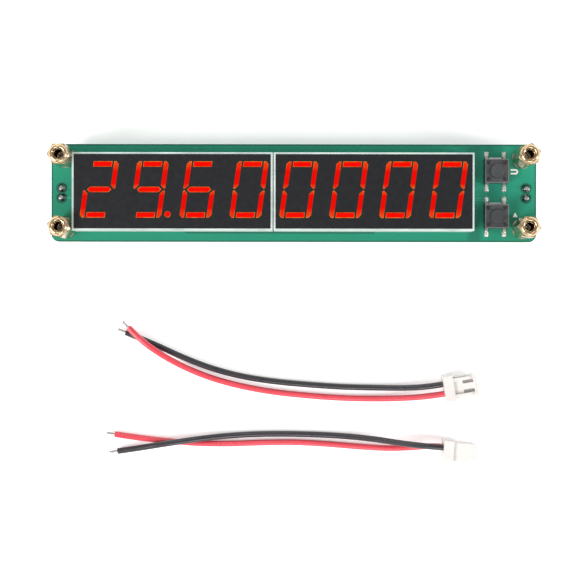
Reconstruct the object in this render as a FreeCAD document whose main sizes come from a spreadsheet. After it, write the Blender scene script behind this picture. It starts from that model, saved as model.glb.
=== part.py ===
import FreeCAD, Part

# Eight-digit frequency counter module on an open circuit board, with its two plug-in leads.
#
# Frame: millimetres, X along the board, Y across it, Z up. The board lies face up on the mouths
# of its two lead sockets, so Z = 0 is the bench and the origin is under the board's centre.
# Every driving size is a cell of the sheet "Sizes"; the sub-parts take theirs from those cells.

import math
import os
import re
import Sketcher

Vector = FreeCAD.Vector
Placement = FreeCAD.Placement
Rotation = FreeCAD.Rotation
UP = Vector(0, 0, 1)

SIZES = {
    # circuit board; its length follows from the displays and the strips beside them
    "board_width": 25.0,
    "key_strip": 16.8,
    "board_thickness": 1.6,
    "board_corner": 2.0,
    "mount_inset": 3.5,
    "mount_hole": 3.2,
    # lead sockets: two-pin wire-to-board headers at the two ends of the rear face
    "socket_height": 7.0,
    "socket_depth": 5.75,
    "socket_width": 7.5,
    "socket_wall": 0.75,
    "socket_floor": 1.0,
    "socket_inset": 0.3,
    "pin_row_inset": 2.35,
    "pin_pitch": 2.5,
    "pin_size": 0.64,
    "pin_recess": 0.6,
    "pin_tail": 1.1,
    "pin_hole": 1.0,
    # the slots in a socket's inner wall, and the plug's ribs that run in them
    "rib_width": 0.8,
    "rib_spacing": 4.2,
    "rib_slot_gap": 0.15,
    "rib_slot_depth": 5.0,
    # numeral displays: two four-digit seven-segment modules side by side
    "display_end": 0.15,
    "display_gap": 0.25,
    "display_width": 19.6,
    "display_height": 8.0,
    "display_y": -0.1,
    "film_margin": 0.5,
    "film_thickness": 0.2,
    "carrier_thickness": 1.2,
    "case_wall": 0.8,
    "digit_pitch": 12.5,
    "digit_shift_left": 0.5,
    "digit_shift_right": -0.1,
    "digit_rise": 0.45,
    "digit_height": 14.15,
    "digit_width": 8.15,
    "digit_slant": 8.0,
    "segment_width": 1.4,
    "segment_gap": 0.32,
    "segment_bevel": 0.7,
    "point_diameter": 1.6,
    "point_offset": 4.6,
    "point_drop": 6.2,
    "display_pin": 0.5,
    "display_pin_hole": 0.9,
    "display_pin_pitch": 2.54,
    "display_pin_rows": 15.24,
    "display_pin_tail": 1.5,
    # threaded hexagon standoffs and the screws that hold them from the rear
    "standoff_flats": 5.0,
    "standoff_height": 12.0,
    "standoff_rim": 4.2,
    "standoff_chamfer": 0.4,
    "standoff_gap": 0.35,
    "thread_bore": 2.5,
    "screw_diameter": 3.0,
    "screw_length": 5.0,
    "screw_tip_gap": 0.6,
    "screw_head": 5.5,
    "screw_head_height": 2.0,
    "screw_recess": 2.6,
    # key switches
    "switch_inset": 10.5,
    "switches_y": -0.25,
    "switch_toe_gap": 2.3,
    "switch_size": 6.0,
    "switch_base_height": 3.2,
    "switch_cover": 0.3,
    "well_play": 0.1,
    "well_floor": 0.7,
    "button_diameter": 3.5,
    "button_play": 0.05,
    "button_lip": 0.3,
    "button_flange_height": 0.6,
    "button_proud": 0.8,
    "dome_play": 0.2,
    "dome_height": 0.45,
    "dome_thickness": 0.08,
    "button_rest_gap": 0.02,
    "rivet_inset": 0.95,
    "rivet_diameter": 0.8,
    "switch_lead_width": 0.75,
    "switch_lead_thickness": 0.2,
    "switch_lead_spacing": 4.5,
    "switch_lead_reach": 1.6,
    "switch_lead_rise": 0.9,
    # solder
    "solder_radius": 0.85,
    "solder_height": 0.85,
    "solder_clearance": 0.01,
    # chips on the rear face
    "chip_standoff": 0.1,
    "chip_lead_width": 0.42,
    "chip_lead_thickness": 0.22,
    "chip_lead_pitch": 1.27,
    "large_chip_length": 17.9,
    "large_chip_width": 7.5,
    "large_chip_height": 2.35,
    "large_chip_span": 10.3,
    "small_chip_length": 4.9,
    "small_chip_width": 3.9,
    "small_chip_height": 1.5,
    "small_chip_span": 6.0,
    "microcontroller_shift": 0.025,
    "prescaler_inset": 16.5,
    "oscillator_offset": 14.4,
    "oscillator_length": 7.0,
    "oscillator_width": 5.0,
    "oscillator_base_height": 1.2,
    "oscillator_lid_height": 0.8,
    "oscillator_rim": 0.35,
    "regulator_inset": 21.0,
    "regulator_y": -4.6,
    "regulator_length": 6.1,
    "regulator_width": 6.6,
    "regulator_height": 2.3,
    "regulator_tab": 0.5,
    "capacitor_diameter": 6.3,
    "capacitor_height": 5.4,
    "capacitor_base": 0.9,
    "diode_length": 4.3,
    "diode_width": 2.6,
    "diode_height": 2.2,
    "amplifier_length": 2.9,
    "amplifier_width": 1.5,
    "amplifier_height": 1.0,
    "chip_part_length": 2.0,
    "chip_part_width": 1.25,
    "chip_part_end": 0.4,
    "resistor_height": 0.55,
    "small_capacitor_height": 0.95,
    # leads
    "wire_diameter": 1.6,
    "conductor_diameter": 0.76,
    "tip_length": 2.4,
    "plug_length": 8.6,
    "plug_clearance": 0.12,
    "collar_length": 2.5,
    "collar_side_inset": 0.05,
    "collar_face_inset": 0.025,
    "rib_end_gap": 1.7,
    "plug_chamfer": 0.5,
    "terminal_size": 1.5,
    "terminal_length": 5.6,
    "terminal_bore": 0.8,
    "terminal_clearance": 0.08,
    "wire_entry": 1.2,
    "barrel_diameter": 1.1,
    "window_length": 2.8,
    "window_width": 0.9,
}

# Cells that follow from the driving sizes, each from those above it.
DERIVED = {
    "display_length": "4 * digit_pitch + 2 * display_end",
    "display_inset": "mount_inset + standoff_flats / 2 + standoff_gap",
    "board_length": "display_inset + 2 * display_length + display_gap + key_strip",
    "display_left_x": "-board_length / 2 + display_inset + display_length / 2",
    "display_right_x": "display_left_x + display_length + display_gap",
    "switch_x": "board_length / 2 - switch_inset",
    "switch_lead_span": "switch_size + 2 * switch_lead_reach",
    "switch_upper_y": "switches_y + (switch_lead_span + switch_toe_gap) / 2",
    "switch_lower_y": "switches_y - (switch_lead_span + switch_toe_gap) / 2",
    "rivet_spacing": "switch_size - 2 * rivet_inset",
    "button_flange": "button_diameter + 2 * button_lip",
    "well_diameter": "button_flange + 2 * well_play",
    "dome_diameter": "well_diameter - 2 * dome_play",
    "microcontroller_x": "(display_left_x + display_right_x) / 2 + microcontroller_shift",
    "oscillator_x": "microcontroller_x - oscillator_offset",
    "prescaler_x": "-board_length / 2 + prescaler_inset",
    "regulator_x": "board_length / 2 - regulator_inset",
    "collar_width": "socket_width - 2 * collar_side_inset",
    "collar_thickness": "socket_depth - 2 * collar_face_inset",
    "contact_row": "pin_row_inset - socket_depth / 2",
}

# Levels and places that follow from the cells.
BOARD_TOP = "(socket_height + board_thickness)"
MOUNT_X = "(board_length / 2 - mount_inset)"
MOUNT_Y = "(board_width / 2 - mount_inset)"
SOCKET_X = "(board_length / 2 - socket_inset - socket_depth / 2)"
SOCKET_PIN_X = "(board_length / 2 - socket_inset - pin_row_inset)"
CASE_HEIGHT = "(display_height - film_thickness)"
PLUG_WIDTH = "(socket_width - 2 * socket_wall - 2 * plug_clearance)"
PLUG_THICKNESS = "(socket_depth - 2 * socket_wall - 2 * plug_clearance)"
COVER_TOP = "(switch_base_height + switch_cover)"
BUTTON_FOOT = "(well_floor + dome_height + button_rest_gap)"

# The leads' plugs on the bench: the middle of the wire end, and the turn of the plug about Z.
SIGNAL_PLUG_AT = (39.05, -50.5)
SIGNAL_PLUG_TURN = 9.5
POWER_PLUG_AT = (38.7, -65.95)
POWER_PLUG_TURN = -4.0

# The wires' routes, from the plug to the stripped end: how far the wire runs straight out of its
# entry in the plug, and the points after that.
SIGNAL_BLACK_ROUTE = 4.3, [
    (28.5, -50.3, 1.6), (21.5, -50.25, 0.95),
    (13.0, -50.1, 0.82), (4.0, -49.5, 0.82), (-5.0, -48.7, 0.82), (-13.0, -47.5, 0.82),
    (-20.8, -45.5, 0.82), (-28.3, -42.7, 0.82), (-36.5, -38.9, 0.82), (-43.8, -35.9, 0.82),
]
SIGNAL_RED_ROUTE = 4.4, [
    (28.5, -52.95, 1.65), (21.0, -53.15, 0.95),
    (12.5, -53.0, 0.82), (4.0, -52.4, 0.82), (-5.0, -51.5, 0.82), (-13.0, -50.1, 0.82),
    (-20.0, -48.3, 0.85), (-26.2, -46.0, 1.25), (-31.6, -43.3, 2.3), (-36.6, -40.2, 2.75),
    (-40.3, -37.3, 2.75), (-42.9, -34.6, 2.5),
]
POWER_BLACK_ROUTE = 4.5, [
    (28.0, -64.5, 3.6), (21.5, -63.6, 2.1),
    (14.5, -62.95, 1.05), (6.5, -62.5, 0.83), (-2.0, -62.3, 0.83), (-10.0, -62.4, 0.83),
    (-17.0, -62.8, 1.05), (-23.5, -63.4, 1.95), (-29.0, -64.15, 2.65), (-34.5, -65.0, 2.6),
    (-40.0, -66.0, 1.5), (-45.8, -66.9, 0.95),
]
POWER_RED_ROUTE = 3.0, [
    (30.6, -65.75, 1.9), (25.0, -66.1, 1.05),
    (17.5, -65.7, 0.85), (9.0, -64.95, 0.83), (0.5, -64.5, 0.83), (-8.0, -64.6, 0.83),
    (-16.0, -64.95, 0.83), (-24.0, -64.9, 0.83), (-32.0, -64.35, 0.83), (-39.5, -63.55, 0.83),
    (-46.6, -62.5, 0.83),
]

doc = FreeCAD.newDocument("FrequencyCounter")
sheet = doc.addObject("Spreadsheet::Sheet", "Sizes")
cells = {**SIZES, **{alias: f"={formula}" for alias, formula in DERIVED.items()}}
for row, (alias, value) in enumerate(cells.items(), 1):
    sheet.set(f"A{row}", alias.replace("_", " "))
    sheet.set(f"B{row}", str(value))
    sheet.setAlias(f"B{row}", alias)
    doc.recompute()

sub_parts = []


def size(alias):
    """The number in one of the sheet's cells."""
    return float(sheet.get(alias))


def bound(formula):
    """A formula written in size names, as an expression on the sheet's cells."""
    return re.sub(r"[a-z]\w*", lambda word: f"Sizes.{word[0]}" if word[0] in cells else word[0], formula)


def keep(part, label):
    """Label a finished sub-part and put it on the list of those to be written."""
    part.Label = label
    sub_parts.append(part)
    return part


def place(part, x="0", y="0", z="0"):
    """Tie a sub-part's position to the sheet."""
    part.setExpression(".Placement.Base.x", bound(x))
    part.setExpression(".Placement.Base.y", bound(y))
    part.setExpression(".Placement.Base.z", bound(z))
    return part


# Sketches and features ---------------------------------------------------------------------

def new_body(name):
    return doc.addObject("PartDesign::Body", name)


def new_sketch(body, role="XY_Plane", offset="0"):
    """An empty sketch on one of the body's origin planes, moved along the plane's normal."""
    sketch = body.newObject("Sketcher::SketchObject", "Sketch")
    plane = next(feature for feature in body.Origin.OriginFeatures if feature.Role == role)
    sketch.AttachmentSupport = [(plane, "")]
    sketch.MapMode = "FlatFace"
    sketch.setExpression(".AttachmentOffset.Base.z", bound(offset))
    return sketch


def drive(sketch, kind, geometry, point, value, formula):
    """A distance from the sketch's origin, tied to the sheet."""
    index = sketch.addConstraint(Sketcher.Constraint(kind, -1, 1, geometry, point, value))
    sketch.setExpression(f"Constraints[{index}]", bound(formula))


def outline(sketch, corners):
    """A closed outline of straight lines; each corner is a pair of formulas."""
    count = len(corners)
    first = sketch.GeometryCount
    start = [Vector(math.cos(math.tau * i / count), math.sin(math.tau * i / count), 0) for i in range(count)]
    for i in range(count):
        sketch.addGeometry(Part.LineSegment(start[i], start[(i + 1) % count]))
    for i in range(count):
        sketch.addConstraint(Sketcher.Constraint("Coincident", first + i, 2, first + (i + 1) % count, 1))
    for i, (x, y) in enumerate(corners):
        drive(sketch, "DistanceX", first + i, 1, start[i].x, x)
        drive(sketch, "DistanceY", first + i, 1, start[i].y, y)


def rectangle(sketch, width, height, x="0", y="0"):
    """A rectangle centred on x, y."""
    left = f"{x} - ({width}) / 2"
    right = f"{x} + ({width}) / 2"
    low = f"{y} - ({height}) / 2"
    high = f"{y} + ({height}) / 2"
    outline(sketch, [(left, low), (right, low), (right, high), (left, high)])


def circle(sketch, diameter, x="0", y="0"):
    index = sketch.addGeometry(Part.Circle(Vector(1, 1, 0), UP, 1))
    drive(sketch, "DistanceX", index, 3, 1, x)
    drive(sketch, "DistanceY", index, 3, 1, y)
    radius = sketch.addConstraint(Sketcher.Constraint("Radius", index, 1))
    sketch.setExpression(f"Constraints[{radius}]", bound(f"({diameter}) / 2"))


def pad(body, sketch, length, midplane=False):
    """Material from the sketch's plane along its normal, or to both sides of it."""
    feature = body.newObject("PartDesign::Pad", "Pad")
    feature.Profile = sketch
    feature.Midplane = midplane
    feature.setExpression("Length", bound(length))
    doc.recompute()
    return feature


def pocket(body, sketch, depth):
    """A cut from the sketch's plane along its normal; it has to take material away."""
    before = body.Shape.Volume
    feature = body.newObject("PartDesign::Pocket", "Pocket")
    feature.Profile = sketch
    feature.Reversed = True
    feature.setExpression("Length", bound(depth))
    doc.recompute()
    if not body.Shape.Volume < before:
        raise RuntimeError(f"{body.Name}: {feature.Name} cuts nothing")
    return feature


def turned(body, corners, role="XZ_Plane"):
    """A solid of revolution about the sketch's vertical axis; corners are radius and level."""
    sketch = new_sketch(body, role)
    outline(sketch, corners)
    feature = body.newObject("PartDesign::Revolution", "Revolution")
    feature.Profile = sketch
    feature.ReferenceAxis = (sketch, ["V_Axis"])
    feature.Angle = 360
    doc.recompute()
    return feature


def edges_where(feature, wanted):
    """The names of a feature's edges whose middle and direction pass a test."""
    names = []
    for number, edge in enumerate(feature.Shape.Edges, 1):
        middle = edge.valueAt((edge.FirstParameter + edge.LastParameter) / 2)
        direction = edge.tangentAt(edge.FirstParameter)
        if wanted(middle, direction):
            names.append(f"Edge{number}")
    return names


def dress(body, kind, base, wanted, amount):
    """A PartDesign::Fillet or PartDesign::Chamfer on the edges that pass a test."""
    feature = body.newObject(kind, kind.split("::")[1])
    feature.Base = (base, edges_where(base, wanted))
    feature.setExpression("Radius" if kind.endswith("Fillet") else "Size", bound(amount))
    doc.recompute()
    return feature


def box(width, depth, height, x="0", y="0", z="0"):
    """A Part::Box centred on x, y with its lower face at z."""
    part = doc.addObject("Part::Box", "Box")
    part.setExpression("Length", bound(width))
    part.setExpression("Width", bound(depth))
    part.setExpression("Height", bound(height))
    return place(part, f"{x} - ({width}) / 2", f"{y} - ({depth}) / 2", z)


def rod(diameter, height, x="0", y="0", z="0"):
    """An upright Part::Cylinder with its lower face at z."""
    part = doc.addObject("Part::Cylinder", "Rod")
    part.setExpression("Radius", bound(f"({diameter}) / 2"))
    part.setExpression("Height", bound(height))
    return place(part, x, y, z)


def slab(width, depth, height):
    """A rectangular block standing on its own origin, for copies."""
    body = new_body("Slab")
    sketch = new_sketch(body)
    rectangle(sketch, width, depth)
    pad(body, sketch, height)
    return body


def joined(kind, base, tool):
    """A Part::Cut, Part::Fuse or Part::Common of two objects."""
    part = doc.addObject(kind, kind.split("::")[1])
    part.Base = base
    part.Tool = tool
    return part


def group(members):
    part = doc.addObject("Part::Compound", "Group")
    part.Links = members
    return part


def copies(original, places):
    """Equal pieces as separate solids of one group; each place holds the piece's own frame."""
    array = doc.addObject("App::Link", "Copies")
    array.ShowElement = False
    array.LinkedObject = original
    array.ElementCount = len(places)
    array.PlacementList = places
    return group([array])


def at(x, y, z=0.0, turn=0.0):
    """A place, turned about Z by so many degrees."""
    return Placement(Vector(x, y, z), Rotation(UP, turn))


# Places of what repeats --------------------------------------------------------------------

board_rear = size("socket_height")
board_top = board_rear + size("board_thickness")
mount_x = size("board_length") / 2 - size("mount_inset")
mount_y = size("board_width") / 2 - size("mount_inset")
socket_pin_x = size("board_length") / 2 - size("socket_inset") - size("pin_row_inset")
MOUNTS = [(-mount_x, mount_y), (mount_x, mount_y), (mount_x, -mount_y), (-mount_x, -mount_y)]
DISPLAYS = {"left": "display_left_x", "right": "display_right_x"}
DISPLAY_PINS = 6
SWITCHES = {"upper": "switch_upper_y", "lower": "switch_lower_y"}


def display_pin_places(middle_x):
    """The pins of one display, two rows of six, in formulas."""
    rows = [f"display_y {sign} display_pin_rows / 2" for sign in "+-"]
    steps = [i - (DISPLAY_PINS - 1) / 2 for i in range(DISPLAY_PINS)]
    return [(f"{middle_x} + {step} * display_pin_pitch", row) for row in rows for step in steps]


def display_pin_points(middle_x):
    """The same pins as numbers."""
    rows = [size("display_y") + sign * size("display_pin_rows") / 2 for sign in (1, -1)]
    steps = [i - (DISPLAY_PINS - 1) / 2 for i in range(DISPLAY_PINS)]
    return [(middle_x + step * size("display_pin_pitch"), row) for row in rows for step in steps]


# Circuit board -----------------------------------------------------------------------------

def make_circuit_board():
    """Glass-epoxy board with holes for the standoffs and for every through pin."""
    body = new_body("circuit_board")
    sketch = new_sketch(body)
    rectangle(sketch, "board_length", "board_width")
    plate = pad(body, sketch, "board_thickness")
    dress(body, "PartDesign::Fillet", plate, lambda middle, way: abs(way.z) > 0.9, "board_corner")
    holes = new_sketch(body)
    for sign_x in "-+":
        for sign_y in "-+":
            circle(holes, "mount_hole", f"{sign_x}{MOUNT_X}", f"{sign_y}{MOUNT_Y}")
            circle(holes, "pin_hole", f"{sign_x}{SOCKET_PIN_X}", f"{sign_y}pin_pitch / 2")
    for middle_x in DISPLAYS.values():
        for x, y in display_pin_places(middle_x):
            circle(holes, "display_pin_hole", x, y)
    pocket(body, holes, "board_thickness")
    keep(place(body, z="socket_height"), "circuit_board")


# Numeral displays --------------------------------------------------------------------------

def segment_outlines():
    """The seven segments of an upright digit about its own middle, as lists of corners."""
    wide = size("digit_width") / 2
    tall = size("digit_height") / 2
    bar = size("segment_width")
    gap = size("segment_gap")
    bevel = size("segment_bevel")
    inner = wide - bar
    reach = inner - gap
    level = [(-reach, tall - bar), (reach, tall - bar), (reach, tall), (-reach, tall)]
    upright = [
        (wide, gap), (wide, tall - bevel), (wide - bevel, tall), (inner, tall),
        (inner, bar / 2 + gap), (wide - bevel / 2, gap / 2),
    ]
    tip = inner + bar / 2 - gap
    middle = [(-tip, 0), (-reach, -bar / 2), (reach, -bar / 2), (tip, 0), (reach, bar / 2), (-reach, bar / 2)]
    flips = [(1, 1), (1, -1), (-1, -1), (-1, 1)]
    uprights = [[(x * sx, y * sy) for x, y in upright] for sx, sy in flips]
    return [level, [(x, -y) for x, y in level], middle] + uprights


def display_light_pipes(shift):
    """The segments and points of one four-digit display, as upright prisms of clear resin."""
    lean = math.tan(math.radians(size("digit_slant")))
    length = size("display_height") - size("film_thickness") - size("carrier_thickness")
    floor = size("carrier_thickness")
    rise = size("digit_rise")
    prisms = []
    for place_number in range(4):
        middle = shift + (place_number - 1.5) * size("digit_pitch")
        for corners in segment_outlines():
            points = [Vector(middle + x + y * lean, y + rise, floor) for x, y in corners]
            face = Part.Face(Part.makePolygon(points + points[:1]))
            prisms.append(face.extrude(UP * length))
        spot = Vector(middle + size("point_offset"), rise - size("point_drop"), floor)
        prisms.append(Part.makeCylinder(size("point_diameter") / 2, length, spot))
    return Part.makeCompound(prisms)


def make_display(side, middle_x, shift):
    """Reflector case, light pipes, face film, chip carrier and pins of one display."""
    where = dict(x=middle_x, y="display_y", z=BOARD_TOP)

    pipes = doc.addObject("Part::Feature", f"display_segments_{side}")
    pipes.Shape = display_light_pipes(size(shift))
    keep(place(pipes, **where), f"display_segments_{side}")

    block = new_body(f"case_block_{side}")
    sketch = new_sketch(block)
    rectangle(sketch, "display_length", "display_width")
    pad(block, sketch, CASE_HEIGHT)
    sketch = new_sketch(block)
    rectangle(sketch, "display_length - 2 * case_wall", "display_width - 2 * case_wall")
    pocket(block, sketch, "carrier_thickness")
    place(block, **where)
    keep(joined("Part::Cut", block, pipes), f"display_case_{side}")

    carrier = new_body(f"display_carrier_{side}")
    sketch = new_sketch(carrier)
    rectangle(sketch, "display_length - 2 * case_wall", "display_width - 2 * case_wall")
    for x, y in display_pin_places("0"):
        circle(sketch, "display_pin", x, y.replace("display_y", "0"))
    pad(carrier, sketch, "carrier_thickness")
    keep(place(carrier, **where), f"display_carrier_{side}")

    film = new_body(f"display_film_{side}")
    sketch = new_sketch(film)
    rectangle(sketch, "display_length - 2 * film_margin", "display_width - 2 * film_margin")
    pad(film, sketch, "film_thickness")
    place(film, middle_x, "display_y", f"{BOARD_TOP} + {CASE_HEIGHT}")
    keep(film, f"display_film_{side}")

    pin = rod("display_pin", "carrier_thickness + board_thickness + display_pin_tail")
    foot = board_rear - size("display_pin_tail")
    spots = [at(x, y, foot) for x, y in display_pin_points(size(middle_x))]
    keep(copies(pin, spots), f"display_pins_{side}")


# Standoffs and their screws ----------------------------------------------------------------

def make_standoffs():
    """Hexagon pillars: a rear bore that the screw fills, and the front thread's minor bore."""
    hexagon = doc.addObject("Part::Prism", "Hexagon")
    hexagon.Polygon = 6
    hexagon.setExpression("Circumradius", bound("standoff_flats / sqrt(3)"))
    hexagon.setExpression("Height", bound("standoff_height"))
    blank = new_body("standoff_blank")
    rim = "standoff_rim / 2"
    wide = "standoff_flats / sqrt(3) + 0.01"
    shoulder = "(standoff_flats / sqrt(3) + 0.01 - standoff_rim / 2) * 0.577"
    screwed = "screw_length - board_thickness + screw_tip_gap"
    turned(blank, [
        ("screw_diameter / 2", "0"), (rim, "0"), (wide, shoulder), (wide, f"standoff_height - {shoulder}"),
        (rim, "standoff_height"), ("thread_bore / 2 + standoff_chamfer", "standoff_height"),
        ("thread_bore / 2", "standoff_height - standoff_chamfer"), ("thread_bore / 2", screwed),
        ("screw_diameter / 2", screwed),
    ])
    pillar = joined("Part::Common", hexagon, blank)
    turns = [30, 47, 24, 16]
    spots = [at(x, y, board_top, turn) for (x, y), turn in zip(MOUNTS, turns)]
    keep(copies(pillar, spots), "standoffs")


def make_screws():
    """Pan-head screws with a cross recess, heads on the board's rear face."""
    body = new_body("rear_screw")
    corner = "screw_head_height * 0.45"
    turned(body, [
        ("0", "-screw_head_height"), ("screw_head * 0.3", "-screw_head_height"),
        ("screw_head / 2", f"-screw_head_height + {corner}"), ("screw_head / 2", "0"),
        ("screw_diameter / 2", "0"), ("screw_diameter / 2", "screw_length"), ("0", "screw_length"),
    ])
    recess = new_sketch(body, offset="-screw_head_height")
    arm = "screw_recess / 2"
    half = "0.3"
    outline(recess, [
        (half, half), (half, arm), (f"-{half}", arm), (f"-{half}", half), (f"-{arm}", half),
        (f"-{arm}", f"-{half}"), (f"-{half}", f"-{half}"), (f"-{half}", f"-{arm}"),
        (half, f"-{arm}"), (half, f"-{half}"), (arm, f"-{half}"), (arm, half),
    ])
    pocket(body, recess, "screw_head_height * 0.6")
    turns = [12, 57, 34, 80]
    spots = [at(x, y, board_rear, turn) for (x, y), turn in zip(MOUNTS, turns)]
    keep(copies(body, spots), "rear_screws")


# Lead sockets ------------------------------------------------------------------------------

def make_socket(name, sign):
    """A two-pin socket on the rear face, mouth down, slotted wall towards the board's middle."""
    body = new_body(f"{name}_socket")
    sketch = new_sketch(body)
    rectangle(sketch, "socket_depth", "socket_width")
    pad(body, sketch, "socket_height")
    sketch = new_sketch(body)
    rectangle(sketch, "socket_depth - 2 * socket_wall", "socket_width - 2 * socket_wall")
    pocket(body, sketch, "socket_height - socket_floor")
    sketch = new_sketch(body)
    for side in "-+":
        slot = "rib_width + 2 * rib_slot_gap"
        rectangle(sketch, "2 * socket_wall", slot, "socket_depth / 2", f"{side}rib_spacing / 2")
    pocket(body, sketch, "rib_slot_depth")
    sketch = new_sketch(body)
    row = "(pin_row_inset - socket_depth / 2)"
    for side in "-+":
        rectangle(sketch, "pin_size", "pin_size", row, f"{side}pin_pitch / 2")
    pocket(body, sketch, "socket_height")
    turn = 0 if sign < 0 else 180
    middle = sign * (size("board_length") / 2 - size("socket_inset") - size("socket_depth") / 2)
    body.Placement = at(middle, 0, 0, turn)
    body.setExpression(".Placement.Base.x", bound(f"{sign} * {SOCKET_X}"))
    keep(body, f"{name}_socket")

    pin = new_body(f"{name}_socket_pin")
    sketch = new_sketch(pin)
    rectangle(sketch, "pin_size", "pin_size")
    post = pad(pin, sketch, "socket_height - pin_recess + board_thickness + pin_tail")
    lowest = 0.01
    point = "pin_size * 0.25"
    dress(pin, "PartDesign::Chamfer", post, lambda middle, way: middle.z < lowest, point)
    reach = size("pin_pitch") / 2
    spots = [at(sign * socket_pin_x, side * reach, size("pin_recess")) for side in (-1, 1)]
    keep(copies(pin, spots), f"{name}_socket_pins")


# Key switches ------------------------------------------------------------------------------

def make_switch(side, middle_y):
    """Moulded base, riveted cover, button, snap dome and four leads of one key switch."""
    where = dict(x="switch_x", y=middle_y, z=BOARD_TOP)

    base = new_body(f"switch_base_{side}")
    sketch = new_sketch(base)
    rectangle(sketch, "switch_size", "switch_size")
    pad(base, sketch, "switch_base_height")
    sketch = new_sketch(base, offset="well_floor")
    circle(sketch, "well_diameter")
    pocket(base, sketch, "switch_base_height - well_floor")
    sketch = new_sketch(base, offset="switch_base_height")
    for sign_x in "-+":
        for sign_y in "-+":
            circle(sketch, "rivet_diameter", f"{sign_x}rivet_spacing / 2", f"{sign_y}rivet_spacing / 2")
    pad(base, sketch, "switch_cover * 1.5")
    keep(place(base, **where), f"switch_base_{side}")

    cover = new_body(f"switch_cover_{side}")
    sketch = new_sketch(cover, offset="switch_base_height")
    rectangle(sketch, "switch_size", "switch_size")
    circle(sketch, "button_diameter + 2 * button_play")
    for sign_x in "-+":
        for sign_y in "-+":
            circle(sketch, "rivet_diameter", f"{sign_x}rivet_spacing / 2", f"{sign_y}rivet_spacing / 2")
    plate = pad(cover, sketch, "switch_cover")
    reach = size("switch_size") / 2 - 0.01

    def at_corner(middle, way):
        return abs(way.z) > 0.9 and abs(middle.x) > reach and abs(middle.y) > reach

    dress(cover, "PartDesign::Fillet", plate, at_corner, "0.3")
    keep(place(cover, **where), f"switch_cover_{side}")

    button = new_body(f"button_{side}")
    top = f"{COVER_TOP} + button_proud"
    flange_top = f"{BUTTON_FOOT} + button_flange_height"
    turned(button, [
        ("0", BUTTON_FOOT), ("button_flange / 2", BUTTON_FOOT), ("button_flange / 2", flange_top),
        ("button_diameter / 2", flange_top), ("button_diameter / 2", f"{top} - 0.15"),
        ("button_diameter / 2 - 0.15", top), ("0", top),
    ])
    keep(place(button, **where), f"button_{side}")

    dome = new_body(f"snap_dome_{side}")
    turned(dome, [
        ("0", "well_floor + dome_height - dome_thickness"),
        ("dome_diameter * 0.3", "well_floor + dome_height * 0.75 - dome_thickness"),
        ("dome_diameter / 2 - 0.1", "well_floor"), ("dome_diameter / 2", "well_floor"),
        ("dome_diameter / 2", "well_floor + 0.02"),
        ("dome_diameter * 0.3 + 0.05", "well_floor + dome_height * 0.75"),
        ("0", "well_floor + dome_height"),
    ])
    keep(place(dome, **where), f"snap_dome_{side}")

    lead = new_body(f"switch_lead_{side}")
    sketch = new_sketch(lead, "YZ_Plane")
    thick = "switch_lead_thickness"
    wall = "switch_size / 2"
    toe = "switch_lead_span / 2"
    outline(sketch, [
        (wall, "switch_lead_rise"), (wall, f"switch_lead_rise - {thick}"),
        (f"{wall} + 0.2", f"switch_lead_rise - {thick}"), (f"{wall} + 0.35", "0"), (toe, "0"),
        (toe, thick), (f"{wall} + 0.35 + {thick}", thick), (f"{wall} + 0.2 + {thick}", "switch_lead_rise"),
    ])
    pad(lead, sketch, "switch_lead_width", midplane=True)
    reach = size("switch_lead_spacing") / 2
    middle = (size("switch_x"), size(middle_y))
    spots = [at(middle[0] + dx, middle[1], board_top, turn) for dx in (-reach, reach) for turn in (0, 180)]
    keep(copies(lead, spots), f"switch_leads_{side}")


# Solder ------------------------------------------------------------------------------------

def solder_cone(name, bore):
    """A filleted cone of solder round a pin, base down."""
    body = new_body(name)
    hole = f"{bore} / 2 + solder_clearance"
    turned(body, [
        (hole, "0"), ("solder_radius", "0"), ("solder_radius * 0.72", "solder_height * 0.35"),
        ("solder_radius * 0.55", "solder_height * 0.75"), (f"{hole} + 0.04", "solder_height"),
        (hole, "solder_height"),
    ])
    return body


def make_solder():
    """Front solder at the socket pins and switch leads, rear solder at the display pins."""
    socket_cone = solder_cone("socket_cone", "pin_size * 1.42")
    reach = size("pin_pitch") / 2
    spots = [at(sx * socket_pin_x, sy * reach, board_top) for sx in (-1, 1) for sy in (-1, 1)]
    toe = new_body("toe_fillet")
    sketch = new_sketch(toe, "YZ_Plane")
    end = "switch_lead_span / 2"
    outline(sketch, [(end, "0"), (f"{end} + 0.55", "0"), (f"{end} + 0.12", "switch_lead_thickness"),
                     (end, "switch_lead_thickness")])
    pad(toe, sketch, "switch_lead_width * 1.35", midplane=True)
    across = size("switch_lead_spacing") / 2
    toes = [at(size("switch_x") + dx, size(middle), board_top, turn)
            for middle in SWITCHES.values() for dx in (-across, across) for turn in (0, 180)]
    keep(group([copies(socket_cone, spots), copies(toe, toes)]), "front_solder")

    pin_cone = solder_cone("display_cone", "display_pin")
    under = Rotation(Vector(1, 0, 0), 180)
    points = [point for middle in DISPLAYS.values() for point in display_pin_points(size(middle))]
    keep(copies(pin_cone, [Placement(Vector(x, y, board_rear), under) for x, y in points]), "rear_solder")


# Parts on the rear face --------------------------------------------------------------------

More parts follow.
